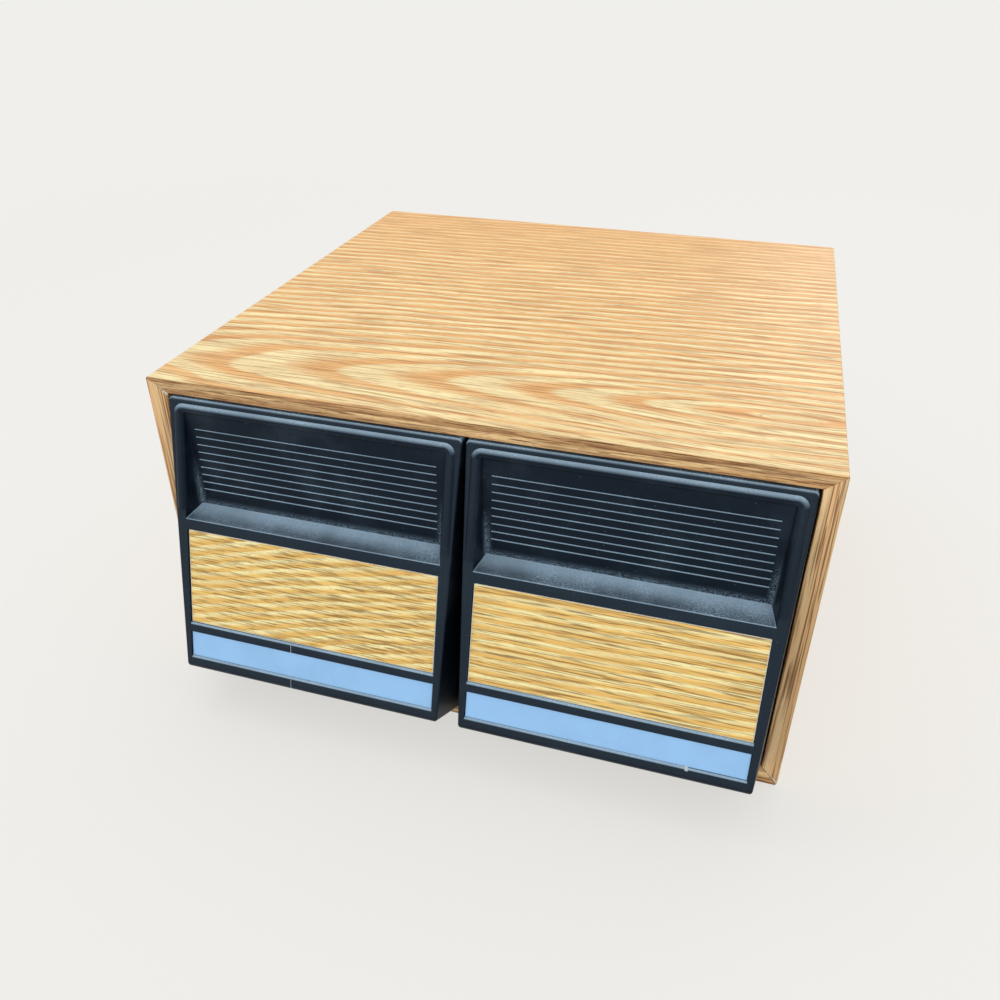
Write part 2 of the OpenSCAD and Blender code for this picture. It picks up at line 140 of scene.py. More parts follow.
class FrontSizes(bpy.types.PropertyGroup):
    """Sizes of a moulded drawer front, what is set into it and what holds it."""

    lean: angle("Lean", "Angle that the face leans out from upright", 14)
    top_setback: length("Top setback", "How far the face's top edge lies behind the cabinet's front", 1.8)
    lip_height: length("Lip height", "Height of the face's lower corner", 25.5)
    nose_taper: length("Taper", "How much narrower each side is at the lower edge", 4.4)
    wall: length("Wall", "Wall thickness of the moulding", 3)
    lip_round: length("Lip rounding", "Radius of the lower edge", 3)
    corner_round: length("Corner rounding", "Radius of the two top corners", 2.4)
    nose_round: length("Nose rounding", "Radius of the two lower corners", 2.6)
    edge_round: length("Edge rounding", "Radius of the other outer edges", 0.8)
    small_round: length("Small rounding", "Radius of the edges of the recess", 0.35)
    pocket_round: length("Pocket rounding", "Radius of the edges of the pockets", 0.22)
    bead_line: length("Bead line", "Distance from the face's edge to the middle of the bead", 4.8)
    bead_radius: length("Bead radius", "Radius of the raised bead", 2.7)
    bead_sink: length("Bead sink", "How far the bead's centre lies below the face", 1.6)
    bead_corner: length("Bead corner", "Radius of the bead's two turns", 2.72)
    bead_fade: length("Bead fade", "Length over which the bead's ends sink into the face", 5)
    recess_top: length("Recess top", "Distance down the face to the top of the recess", 6.9)
    sill_line: length("Sill line", "Distance down the face to the sill", 58.3)
    sill_depth: length("Sill depth", "Depth of the sill", 11)
    sill_fall: length("Sill fall", "How much the sill falls to its front edge", 2.4)
    recess_lean: angle("Recess lean", "Lean of the back of the recess", 3)
    recess_draft: angle("Recess draft", "Slope of the sides of the recess", 14)
    recess_wall: length("Recess wall", "Wall thickness behind the recess", 2.4)
    rib_radius: length("Rib radius", "Radius of a grip rib", 0.5)
    rib_pitch: length("Rib pitch", "Distance between grip ribs", 3.9)
    rib_drop: length("Rib drop", "Distance from the roof of the recess to the first rib", 8.4)
    rib_half: length("Rib half length", "Half the length of a rib", 58.8)
    rib_count: IntProperty(name="Ribs", description="Number of grip ribs", default=9, min=1)
    panel_half: length("Panel half width", "Half width of the pockets in the face", 63)
    insert_top: length("Insert top", "Distance down the face to the insert", 63.7)
    insert_bottom: length("Insert bottom", "Distance down the face to the insert's lower edge", 112.69)
    strip_top: length("Strip top", "Distance down the face to the label strip", 117.59)
    strip_bottom: length("Strip bottom", "Distance down the face to the strip's lower edge", 130.99)
    panel_sink: length("Panel sink", "How far insert and strip lie below the face", 0.7)
    panel_fit: length("Panel gap", "Gap round insert and strip", 0.15)
    insert_thick: length("Insert thickness", "Thickness of the insert", 1.2)
    insert_round: length("Insert rounding", "Radius of the insert's upper edges", 0.5)
    strip_thick: length("Strip thickness", "Thickness of the label strip", 1)
    strip_round: length("Strip rounding", "Radius of the strip's upper edges", 0.3)
    rail_bevel: length("Rail bevel", "Width of the slope on the lower rails", 0.8)
    boss_radius: length("Boss radius", "Radius of a screw boss", 3.6)
    pilot_radius: length("Pilot radius", "Radius of a screw's hole", 1.5)
    pilot_depth: length("Pilot depth", "Depth of a screw's hole", 6.5)
    screw_spacing: length("Screw spacing", "Distance between the two columns of screws", 92)
    screw_rise: length("Screw rise", "Distance between the lower and upper screws", 78)
    screw_head: length("Screw head", "Radius of a screw's head", 2.8)
    screw_head_tall: length("Screw head height", "Height of a screw's head", 1.7)
    screw_shank: length("Screw shank", "Radius of a screw's shank", 1.4)
    slot_half: length("Slot half length", "Half the length of a screw's slot", 1.7)
    slot_half_width: length("Slot half width", "Half the width of a screw's slot", 0.32)
    slot_depth: length("Slot depth", "Depth of a screw's slot", 0.9)
    tray_round: length("Tray rounding", "Radius of a tray's long edges", 0.4)
    tray_edge: length("Tray edge", "Length above which a tray's edge is rounded", 20)
    crack_x: length("Crack place", "Distance of the crack from the left front's middle", 8.8)
    crack_width: length("Crack width", "Width of the crack in the left front's lower rails", 0.35)
    crack_depth: length("Crack depth", "Depth of the crack", 1.2)
    crack_reach: length("Crack reach", "How far the crack runs past the face's lower edge", 3)
    nick_x: length("Nick place", "Distance of the nick from the right front's middle", 37.6)
    nick_size: length("Nick size", "Width of the nick in the right front's lower rail", 1.6)


class Finishes(bpy.types.PropertyGroup):
    """Colours of the finishes."""

    oak_pale: colour("Oak, pale", "Smooth late wood of the printed film", 255, 238, 180)
    oak_warm: colour("Oak, warm", "Early wood of the printed film", 242, 184, 113)
    oak_streak: colour("Oak, streak", "Darker lines of the printed film", 218, 156, 88)
    oak_pore: colour("Oak, pore", "Dark pores of the printed film", 156, 88, 36)
    # Painted shade: the front edges of the top and the bottom take darker tones than those of the sides;
    # edge_warm is also the streak of the sides' edges
    shaded_edge_pale: colour("Edge, pale", "Light film on the front edges", 242, 204, 146)
    edge_warm: colour("Edge, warm", "Film on the front edges", 214, 168, 112)
    side_pale: colour("Side edge, pale", "Light film on the sides' front edges", 242, 208, 156)
    side_warm: colour("Side edge, warm", "Film on the sides' front edges", 236, 192, 138)
    edge_streak: colour("Edge, streak", "Dark streaks of the film on the front edges", 118, 72, 36)
    insert_pale: colour("Insert, pale", "Light wood of the inserts", 255, 243, 180)
    insert_warm: colour("Insert, warm", "Golden wood of the inserts", 248, 204, 116)
    insert_streak: colour("Insert, streak", "Dark bands of the inserts", 216, 164, 82)
    insert_pore: colour("Insert, pore", "Dark pores of the inserts", 108, 70, 30)
    cut_edge: colour("Cut edge", "Pale core where the film or the insert is cut", 246, 238, 222)
    navy: colour("Navy plastic", "Moulded plastic of the fronts and trays", 11, 18, 27)
    # Painted reflection: a blue tint on the shine that stands in for the blue sky the plastic reflects
    painted_sky_tint: colour("Navy gloss", "Tint of the plastic's shine", 176, 214, 255)
    # Also the colour of the painted highlight: the bright sky reflected by what faces up on the plastic is
    # painted in with this colour
    dust_and_sky_highlight: colour("Dust", "Settled dust", 168, 196, 218)
    stress: colour("Stress mark", "Whitened plastic at a crack", 228, 234, 240)
    label_blue: colour("Label blue", "Label strips", 154, 204, 252)
    hardboard: colour("Hardboard", "Back panel", 126, 86, 54)
    fibreboard: colour("Fibreboard", "Bare board inside the cabinet", 176, 140, 98)
    pine_pale: colour("Pine, pale", "Light wood of the stop battens", 236, 208, 156)
    pine_dark: colour("Pine, dark", "Dark wood of the stop battens", 206, 162, 100)
    steel: colour("Steel", "Screws and nails", 176, 176, 172)
    nylon: colour("Nylon", "Glides", 232, 228, 214)
    floor: colour("Floor", "Studio floor", 246, 245, 242)
    backdrop: colour("Backdrop", "Studio background", 240, 239, 235)


class StageSizes(bpy.types.PropertyGroup):
    """Camera, floor and light of the studio."""

    camera_place: position("Camera place", "Where the camera stands", 0.10617, -0.43174, 0.33984)
    camera_aim: position("Camera aim", "Point that the camera looks at", -0.0287, 0.0187, 0.0545)
    lens: number("Lens", "Focal length in millimetres", 32.14)
    sensor: number("Sensor", "Width of the sensor in millimetres", 36.0)
    shift_x: number("Shift X", "Sideways shift of the picture", 0.0017)
    shift_y: number("Shift Y", "Upward shift of the picture", -0.0297)
    floor_size: length("Floor size", "Width of the floor", 12000)
    floor_drop: length("Floor drop", "How far the floor lies below the cabinet", 0.2)
    floor_near: length("Floor near", "Distance at which the shadows on the floor start to fade", 400)
    floor_far: length("Floor far", "Distance at which the floor is as plain as the backdrop", 1200)
    floor_glow: number("Floor glow", "Share of the plain backdrop colour in the floor", 0.68, min=0, max=1)
    sky_light: number("Sky light", "Strength of the even light", 0.72)
    key_power: number("Key light", "Power of the light above", 2.7, unit="POWER")
    fill_power: number("Fill light", "Power of the light in front", 5.0, unit="POWER")
    rim_power: number("Rim light", "Power of the light behind", 4.5, unit="POWER")


class CabinetSettings(bpy.types.PropertyGroup):
    """All settings of the cabinet."""

    board: PointerProperty(type=BoardSizes)
    front: PointerProperty(type=FrontSizes)
    finish: PointerProperty(type=Finishes)
    stage: PointerProperty(type=StageSizes)


def settings():
    """The cabinet's settings in the scene."""
    return bpy.context.scene.disc_cabinet


# Modelling steps shared by the pieces

def select_only(piece):
    """Makes one object the only selected one, and the active one."""
    bpy.ops.object.select_all(action="DESELECT")
    piece.select_set(True)
    bpy.context.view_layer.objects.active = piece


def take_new(name):
    """Names the primitive that was just added and puts its place into its mesh."""
    piece = bpy.context.active_object
    piece.name = name
    piece.data.name = name
    bpy.ops.object.transform_apply(location=True, rotation=True, scale=True)
    return piece


def add_block(name, low, high):
    """Adds a block between two corners."""
    low = Vector(low)
    high = Vector(high)
    bpy.ops.object.select_all(action="DESELECT")
    bpy.ops.mesh.primitive_cube_add(size=1, location=(low + high) / 2, scale=high - low)
    return take_new(name)


def add_rod(name, start, end, radius, sides=24):
    """Adds a round rod along X or Y between two points."""
    along = Vector(end) - Vector(start)
    turn = (0, math.radians(90), 0) if abs(along.x) > abs(along.y) else (math.radians(90), 0, 0)
    bpy.ops.object.select_all(action="DESELECT")
    bpy.ops.mesh.primitive_cylinder_add(
        vertices=sides, radius=radius, depth=along.length,
        location=(Vector(start) + Vector(end)) / 2, rotation=turn,
    )
    return take_new(name)


@contextmanager
def editing(piece, mode):
    """Opens a piece in edit mode with nothing selected, and gives its mesh."""
    select_only(piece)
    bpy.ops.object.mode_set(mode="EDIT")
    bpy.ops.mesh.select_mode(type=mode)
    bpy.ops.mesh.select_all(action="DESELECT")
    yield bmesh.from_edit_mesh(piece.data)
    bpy.ops.object.mode_set(mode="OBJECT")


def pick(elements, test):
    """Selects the vertices, edges or faces that pass a test, and says how many they are."""
    chosen = [element for element in elements if test(element)]
    for element in chosen:
        element.select_set(True)
    return len(chosen)


def slice_away(piece, point, outward):
    """Cuts a piece with a plane, drops what lies beyond it and closes the cut."""
    with editing(piece, "FACE"):
        bpy.ops.mesh.select_all(action="SELECT")
        bpy.ops.mesh.bisect(
            plane_co=point, plane_no=outward, use_fill=True, clear_outer=True, threshold=0.001 * MM,
        )


def add_sliced(name, low, high, planes):
    """Adds a block and slices it with planes, each a point and its outward direction."""
    piece = add_block(name, low, high)
    for point, outward in planes:
        slice_away(piece, point, outward)
    return piece


def apply_modifier(piece, kind, **options):
    """Adds a modifier, sets it and applies it."""
    modifier = piece.modifiers.new(kind.lower(), kind)
    for key, value in options.items():
        setattr(modifier, key, value)
    select_only(piece)
    bpy.ops.object.modifier_apply(modifier=modifier.name)


def repeat(piece, count, step):
    """Repeats a piece a number of times along a step."""
    apply_modifier(
        piece, "ARRAY", count=count, use_relative_offset=False, use_constant_offset=True,
        constant_offset_displace=step,
    )


def cut(piece, tool, material=None):
    """Cuts the tool's shape out of a piece, with its own material on the cut if one is given."""
    if material:
        tool.data.materials.append(material)
    mode = "TRANSFER" if material else "INDEX"
    apply_modifier(
        piece, "BOOLEAN", operation="DIFFERENCE", solver="EXACT", object=tool, material_mode=mode,
    )
    bpy.data.objects.remove(tool)


def fuse(piece, tool):
    """Joins the tool's shape to a piece."""
    apply_modifier(piece, "BOOLEAN", operation="UNION", solver="EXACT", object=tool)
    bpy.data.objects.remove(tool)


def clean(piece, reach=0.01 * MM):
    """Merges doubled points and joins flat neighbouring faces."""
    with editing(piece, "VERT"):
        bpy.ops.mesh.select_all(action="SELECT")
        bpy.ops.mesh.remove_doubles(threshold=reach)
        bpy.ops.mesh.dissolve_limited(angle_limit=math.radians(0.5))


def round_edges(piece, width, segments, test, held=True):
    """Rounds the edges that pass a test, held back where they crowd or not."""
    with editing(piece, "EDGE") as mesh:
        if not pick(mesh.edges, test):
            raise RuntimeError(f"{piece.name}: no edge to round")
        bpy.ops.mesh.bevel(
            offset=width, offset_type="OFFSET", segments=segments, affect="EDGES", clamp_overlap=held,
        )


def is_sharp(edge, degrees=30):
    """Whether the faces at an edge meet at more than an angle."""
    return len(edge.link_faces) == 2 and edge.calc_face_angle() > math.radians(degrees)


def middle(edge):
    """The middle of an edge."""
    return (edge.verts[0].co + edge.verts[1].co) / 2


def alignment(edge, axis):
    """How straight an edge runs along an axis, from 0 to 1."""
    return abs((edge.verts[0].co - edge.verts[1].co).normalized().dot(axis))


def near(value, target, reach=0.02 * MM):
    """Whether a value lies at a target."""
    return abs(value - target) < reach


def smooth(piece):
    """Shades the rounded edges softly and keeps the flat faces flat."""
    select_only(piece)
    bpy.ops.object.shade_smooth_by_angle(angle=math.radians(40))
    apply_modifier(piece, "WEIGHTED_NORMAL", keep_sharp=True, weight=80)


def copy_piece(piece, name, shift=(0, 0, 0)):
    """A copy of a piece with its own mesh, moved by a distance."""
    select_only(piece)
    bpy.ops.object.duplicate(linked=False)
    twin = bpy.context.active_object
    twin.name = name
    twin.data.name = name
    twin.location = shift
    bpy.ops.object.transform_apply(location=True, rotation=False, scale=False)
    return twin


def both_sides(left, name):
    """A piece of the left front and its copy on the right front, by side."""
    left.name = f"left_{name}"
    left.data.name = left.name
    return {"left": left, "right": copy_piece(left, f"right_{name}", X_AXIS * FRONT_PITCH)}


def copy_node(node, name):
    """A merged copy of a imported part's mesh."""
    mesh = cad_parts[node].data.copy()
    piece = bpy.data.objects.new(name, mesh)
    bpy.context.scene.collection.objects.link(piece)
    mesh.materials.clear()
    clean(piece)
    return piece


def set_in(piece, body, slot, nodes, *materials):
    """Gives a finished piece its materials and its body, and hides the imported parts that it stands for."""
    for material in materials:
        if material.name not in piece.data.materials:
            piece.data.materials.append(material)
    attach(piece, body)
    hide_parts(*nodes)


# Shader nodes

def fill(tree, node, inputs):
    """Links or sets inputs of a node."""
    for key, value in dict(inputs).items():
        if isinstance(value, bpy.types.NodeSocket):
            tree.links.new(value, node.inputs[key])
        else:
            node.inputs[key].default_value = value


def place(tree, kind, inputs=(), **options):
    """Adds a shader node, sets its options and links or sets its inputs."""
    node = tree.nodes.new(kind)
    for key, value in options.items():
        setattr(node, key, value)
    fill(tree, node, inputs)
    return node


def calc(tree, operation, *values, clamp=False):
    """One step of arithmetic."""
    return place(tree, "ShaderNodeMath", enumerate(values), operation=operation, use_clamp=clamp).outputs[0]


def times(tree, first, *others):
    """Multiplies values."""
    for other in others:
        first = calc(tree, "MULTIPLY", first, other)
    return first


def uneven(tree, value, mask, amount):
    """A value with an amount of a mask on top."""
    return calc(tree, "ADD", value, times(tree, mask, amount))


def rgba(tone):
    """A colour as a node takes it, or the socket that gives it."""
    return tone if isinstance(tone, bpy.types.NodeSocket) else (*tone, 1)


def shaded(tone, factor):
    """A colour made darker or lighter by a factor."""
    return [min(1, part * factor) for part in tone]


def mix_colour(tree, share, first, second):
    """Mixes two colours."""
    inputs = {0: share, 6: rgba(first), 7: rgba(second)}
    return place(tree, "ShaderNodeMix", inputs, data_type="RGBA").outputs[2]


def ease(tree, value, start, end):
    """Rises smoothly from 0 to 1 between two values."""
    inputs = {"Value": value, "From Min": start, "From Max": end}
    return place(tree, "ShaderNodeMapRange", inputs, interpolation_type="SMOOTHSTEP").outputs["Result"]


def fall(tree, value, start, end):
    """Falls smoothly from 1 to 0 between two values."""
    return calc(tree, "SUBTRACT", 1.0, ease(tree, value, start, end))


def spread(tree, value, start, end, first, last):
    """Goes evenly from a first to a last result while a value goes from its start to its end."""
    inputs = {"Value": value, "From Min": start, "From Max": end, "To Min": first, "To Max": last}
    return place(tree, "ShaderNodeMapRange", inputs).outputs["Result"]


def parts_of(tree, vector):
    """The three parts of a vector."""
    return place(tree, "ShaderNodeSeparateXYZ", {0: vector}).outputs


def vector_of(tree, *parts):
    """A vector of three parts."""
    return place(tree, "ShaderNodeCombineXYZ", enumerate(parts)).outputs[0]


def vector_calc(tree, operation, *vectors):
    """One step of arithmetic with vectors."""
    return place(tree, "ShaderNodeVectorMath", enumerate(vectors), operation=operation).outputs


def noise(tree, vector, factors, detail=3.0, roughness=0.55):
    """Noise with its own scale along each axis, about 0.5."""
    drawn = vector_calc(tree, "MULTIPLY", vector, factors)[0]
    inputs = {"Vector": drawn, "Scale": 1.0, "Detail": detail, "Roughness": roughness}
    return place(tree, "ShaderNodeTexNoise", inputs).outputs["Fac"]


def bump(tree, height, strength, distance):
    """A normal that follows a height."""
    inputs = {"Height": height, "Strength": strength, "Distance": distance}
    return place(tree, "ShaderNodeBump", inputs).outputs[0]


def object_place(tree, centre=(0, 0, 0), turn=(0, 0, 0)):
    """Object coordinates measured from a centre, turned."""
    object_vector = place(tree, "ShaderNodeTexCoord").outputs["Object"]
    shift = -(Euler(turn).to_matrix() @ Vector(centre))
    inputs = {"Vector": object_vector, "Location": shift, "Rotation": turn}
    return place(tree, "ShaderNodeMapping", inputs).outputs[0]


def new_group(name, inputs, outputs):
    """Starts a node group and gives its tree, its inputs and its output node."""
    tree = bpy.data.node_groups.new(name, "ShaderNodeTree")
    for label, kind, value in inputs:
        socket = tree.interface.new_socket(name=label, in_out="INPUT", socket_type=kind)
        if value is not None:
            socket.default_value = value
    for label, kind in outputs:
        tree.interface.new_socket(name=label, in_out="OUTPUT", socket_type=kind)
    return tree, place(tree, "NodeGroupInput").outputs, place(tree, "NodeGroupOutput")


def use_group(tree, group, **inputs):
    """Places a node group with its own inputs, whose names have underscores for spaces."""
    node = place(tree, "ShaderNodeGroup", node_tree=group)
    fill(tree, node, {key.replace("_", " "): value for key, value in inputs.items()})
    return node.outputs


def new_material(name):
    """Starts a material and gives it with its node tree and its shader."""
    material = bpy.data.materials.new(name)
    material.use_nodes = True
    return material, material.node_tree, material.node_tree.nodes["Principled BSDF"]


# Wood

# Scales of the noises along the grain, across it and through it, to a metre
WOBBLE_SCALE = (7, 20, 20)
BROAD_SCALE = (7, 75, 75)

# The same for the lines, to a line's length and its pitch
LINE_SCALE = (1, 1, 1)
DASH_SCALE = (2.6, 3.2, 3.2)
FIBRE_SCALE = (14, 5, 5)

# Between which values each part of the grain comes in or goes out
BAND_IN = (0.0, 0.2)
BAND_OUT = (0.3, 1.0)
SOFT_LINES_IN = (0.46, 0.62)
THIN_LINES_OUT = (0.02, 0.09)
BREAKS_OUT = (0.35, 0.6)
DASHES_IN = (0.58, 0.67)
FIBRES_IN = (0.5, 0.7)

# How strongly each part shows
RING_WOBBLE = 12 * MM
BAND_WARMTH = 1.5
BROAD_WARMTH = 0.5
BROAD_MIDDLE = 0.42
LINE_MIDDLE = 0.5
LINE_LIFT = 0.04
THIN_LINE_SHARE = 0.75
STREAK_SHARE = 0.4
FIBRE_HEIGHT = 0.25
PLAIN_WARMTH = -0.3
BACK_LINE_SHARE = 0.55
PORE_ROUGHNESS = 0.18
WOOD_SHINE = 0.35
WOOD_RELIEF = (0.25, 0.12 * MM)


def grain_rings(tree, vector, in_log, rings):
    """Uneven distance from the heart of the log, and the warm band of each growth ring."""
    wobble = calc(tree, "SUBTRACT", noise(tree, vector, WOBBLE_SCALE, 2), 0.5)
    squares = [calc(tree, "POWER", in_log[axis], 2.0) for axis in "YZ"]
    radius = uneven(tree, calc(tree, "SQRT", calc(tree, "ADD", *squares)), wobble, RING_WOBBLE)
    ring = calc(tree, "FRACT", times(tree, radius, rings))
    return radius, times(tree, ease(tree, ring, *BAND_IN), fall(tree, ring, *BAND_OUT))


def line_places(tree, vector, in_log, radius, line_length, pitch):
    """Places drawn out along the grain and bent round the heart, for the lines."""
    parts = parts_of(tree, vector)
    bulge = calc(tree, "SUBTRACT", radius, calc(tree, "ABSOLUTE", in_log["Y"]))
    bulge = times(tree, bulge, calc(tree, "DIVIDE", in_log["Y"], radius))
    bent = calc(tree, "ADD", parts["Y"], bulge)
    spans = ((parts["X"], line_length), (bent, pitch), (parts["Z"], pitch))
    return vector_of(tree, *[calc(tree, "DIVIDE", part, span) for part, span in spans])


def wood_grain_group():
    """Wood grain along X: growth rings round an axis, warm bands, long lines, dashes and fine pores."""
    name = "wood_grain"
    if name in bpy.data.node_groups:
        return bpy.data.node_groups[name]
    tree, given, result = new_group(
        name,
        [
            ("Vector", "NodeSocketVector", None),
            ("Log", "NodeSocketVector", None),
            ("Pale", "NodeSocketColor", (1, 1, 1, 1)),
            ("Warm", "NodeSocketColor", (0.8, 0.6, 0.4, 1)),
            ("Streak", "NodeSocketColor", (0.6, 0.4, 0.2, 1)),
            ("Pore", "NodeSocketColor", (0.3, 0.2, 0.1, 1)),
            ("Rings", "NodeSocketFloat", 90.0),
            ("Warmth", "NodeSocketFloat", 0.0),
            ("Line Length", "NodeSocketFloat", 0.07),
            ("Line Pitch", "NodeSocketFloat", 0.003),
            ("Line Share", "NodeSocketFloat", 0.5),
        ],
        [("Color", "NodeSocketColor"), ("Height", "NodeSocketFloat"), ("Pores", "NodeSocketFloat")],
    )
    vector = given["Vector"]
    share = given["Line Share"]
    in_log = parts_of(tree, given["Log"])
    radius, band = grain_rings(tree, vector, in_log, given["Rings"])
    broad = calc(tree, "SUBTRACT", noise(tree, vector, BROAD_SCALE), BROAD_MIDDLE)
    warm = uneven(tree, times(tree, band, BAND_WARMTH), broad, BROAD_WARMTH)
    warm = calc(tree, "ADD", warm, given["Warmth"], clamp=True)
    drawn = line_places(tree, vector, in_log, radius, given["Line Length"], given["Line Pitch"])
    scales = (LINE_SCALE, DASH_SCALE, FIBRE_SCALE)
    lines, dashes, fibre = [noise(tree, drawn, scale, detail=1.0, roughness=0.5) for scale in scales]
    lines = uneven(tree, lines, band, LINE_LIFT)
    dashes = uneven(tree, dashes, band, LINE_LIFT)
    soft_lines = times(tree, ease(tree, lines, *SOFT_LINES_IN), share)
    off_line = calc(tree, "ABSOLUTE", calc(tree, "SUBTRACT", lines, LINE_MIDDLE))
    broken = times(tree, fall(tree, off_line, *THIN_LINES_OUT), ease(tree, dashes, *BREAKS_OUT))
    broken = times(tree, broken, THIN_LINE_SHARE)
    pores = times(tree, calc(tree, "MAXIMUM", broken, ease(tree, dashes, *DASHES_IN)), share)
    tone = mix_colour(tree, warm, given["Pale"], given["Warm"])
    for streaks in (ease(tree, fibre, *FIBRES_IN), soft_lines):
        tone = mix_colour(tree, times(tree, streaks, STREAK_SHARE), tone, given["Streak"])
    tone = mix_colour(tree, pores, tone, given["Pore"])
    height = calc(tree, "SUBTRACT", times(tree, fibre, FIBRE_HEIGHT), pores)
    fill(tree, result, {"Color": tone, "Height": height, "Pores": pores})
    return tree


def wood_material(
    name, tones, heart, lines, turn=(0, 0, 0), rings=150, rough=0.42, warmth=None, along=(0, 0, 0),
):
    """Wood with growth rings round a turned line through the heart, so many to a metre.

    The lines have a length and a pitch in millimetres, and a share. The warmth goes from front to back, as
    painted shade: paler at the front, warmer and darker behind.
    """
    if name in bpy.data.materials:
        return bpy.data.materials[name]
    material, tree, shader = new_material(name)
    vector = object_place(tree, turn=along)
    line_length, pitch, share = lines
    extra = PLAIN_WARMTH
    # Painted shade from front to back
    if warmth:
        depth = (parts_of(tree, vector)["Y"], CABINET_LOW.y, CABINET_HIGH.y)
        extra = spread(tree, *depth, *warmth)
        share = spread(tree, *depth, share, share * BACK_LINE_SHARE)
    pale, warm, streak, pore = [rgba(tone) for tone in tones]
    grain = use_group(
        tree, wood_grain_group(), Vector=vector, Log=object_place(tree, heart, turn), Pale=pale, Warm=warm,
        Streak=streak, Pore=pore, Rings=rings, Warmth=extra, Line_Length=line_length * MM,
        Line_Pitch=pitch * MM, Line_Share=share,
    )
    finish = {
        "Base Color": grain["Color"],
        "Roughness": uneven(tree, rough, grain["Pores"], PORE_ROUGHNESS),
        "Normal": bump(tree, grain["Height"], *WOOD_RELIEF),
        "Specular IOR Level": WOOD_SHINE,
    }
    fill(tree, shader, finish)
    return material


def film_tones():
    """Tones of the printed oak film."""
    finish = settings().finish
    return finish.oak_pale, finish.oak_warm, finish.oak_streak, finish.oak_pore


def oak_film_across():
    """Printed oak film with its grain along the cabinet's width, with painted shade making it paler at the
    front and warmer and darker towards the back.
    """
    return wood_material(
        "oak_film_across", film_tones(), heart=(0.13, -0.086, CABINET_HIGH.z), lines=(80, 4.2, 0.64),
        turn=(0, math.radians(8), math.radians(-3)), warmth=(-0.78, 0.34),
    )


def oak_film_upright():
    """Printed oak film with its grain up and down, on the two sides."""
    return wood_material(
        "oak_film_upright", film_tones(), heart=(0.1, -0.03, 0), lines=(75, 3.2, 0.65), turn=UPRIGHT,
        rings=240, warmth=(0.2, 0.3), along=UPRIGHT,
    )


def oak_edge_across():
    """Film on the front edges of the top and the bottom, in darker tones than on the sides as painted shade.
    """
    finish = settings().finish
    tones = (finish.shaded_edge_pale, finish.edge_warm, finish.edge_streak, finish.edge_streak)
    return wood_material("oak_edge_across", tones, heart=(0, -0.11, 0.1), lines=(45, 2.0, 0.9))


def oak_edge_upright():
    """Streaked film on the front edges of the two sides."""
    finish = settings().finish
    tones = (finish.side_pale, finish.side_warm, finish.edge_warm, finish.edge_streak)
    return wood_material(
        "oak_edge_upright", tones, heart=(0.08, -0.11, 0), lines=(110, 2.2, 0.85), turn=UPRIGHT,
        along=UPRIGHT,
    )


def oak_insert(side):
    """Golden oak of an insert, from another part of the log on each side."""
    finish = settings().finish
    tones = (finish.insert_pale, finish.insert_warm, finish.insert_streak, finish.insert_pore)
    heart, tilt, lines = {
        "left": ((-0.02, -0.155, 0.02), 12, (34, 2.1, 0.68)),
        "right": ((-0.3, -0.16, 0.005), 2, (55, 2.1, 0.7)),
    }[side]
    turn = (0, math.radians(tilt), 0)
    return wood_material(f"golden_oak_{side}", tones, heart, lines, turn, rings=230, rough=0.5)


def pine():
    """Pale pine of the stop battens."""
    finish = settings().finish
    tones = (finish.pine_pale, finish.pine_pale, finish.pine_dark, finish.pine_dark)
    return wood_material("batten_pine", tones, (0, -0.1, 0.1), (50, 3.0, 0.3), rings=300, rough=0.6)


# Plastic, pressed board and metal

# Specks with a soft edge, in the cells above a chance, and blotches
SPECK_SCALE = 420.0
SPECK_EDGE = (0.06, 0.16)
SPECKED_FROM = 0.82
BLOTCH_SCALE = (45, 45, 45)

# Pressed board
BOARD_FIBRES_IN = (0.3, 0.7)
BOARD_DARK = 0.62
BOARD_LIGHT = 1.22
BOARD_BLOTCHES_IN = (0.4, 0.7)
BOARD_BLOTCHES = 0.35
BOARD_UNEVEN = 0.15
BOARD_RELIEF = (0.3, 0.15 * MM)

# Navy plastic
NAVY_GRAIN = 2600
NAVY_ROUGHNESS = 0.34
NAVY_UNEVEN = 0.12
NAVY_SHINE = 0.22
NAVY_RELIEF = (0.12, 0.08 * MM)

# Label strips
STRIP_GRAIN = 1200
STRIP_ROUGHNESS = 0.32
STRIP_UNEVEN = 0.12
STRIP_RELIEF = (0.06, 0.05 * MM)
STRIP_SHADE = 0.86
STRIP_BLOTCHES_IN = (0.35, 0.7)
STRIP_BLOTCHES = 0.6
SCUFF = (0.9, 0.94, 1.0)
SCUFF_SHARE = 0.25

# How far the dust in a recess reaches from its corners, and the slack at the recess's edges
BACK_REACH = 3 * MM
SIDE_REACH = 3.5 * MM
SILL_REACH = 4 * MM
CORNER_RISE = (2 * MM, 26 * MM)
RECESS_SLACK = 0.3 * MM

# Between which slopes, masks or depths below the face the dust and the painted highlight change
FACING_UP = (0.15, 1.0)
LYING_FLAT = (0.88, 0.96)
PATCHY_BLOTCHES = (0.25, 0.8)
PATCHY_GRAIN = (0.35, 0.75)
DUST_FILM_IN = (0.45, 0.75)
GRIT_IN = (0.42, 0.68)
DEEP_LEDGE_DEPTH = (1 * MM, 9 * MM)
DEEP_TRAY_DEPTH = (14 * MM, 30 * MM)

# How strongly the dust and the painted highlight show
DUST_AND_HIGHLIGHT_SHARE = 0.8
PATCHY_SHARE = 0.9
FLAT_LEDGE_CUT = 0.68
DEEP_LEDGE_RESTORE = 0.56
DEEP_TRAY_CUT = 0.8
BACK_SHARE = 0.7
GRIT_SHARE = 0.75
DUST_FILM = 0.03
DUST_SPECKS = 0.12
DUST_ROUGHNESS = 0.2


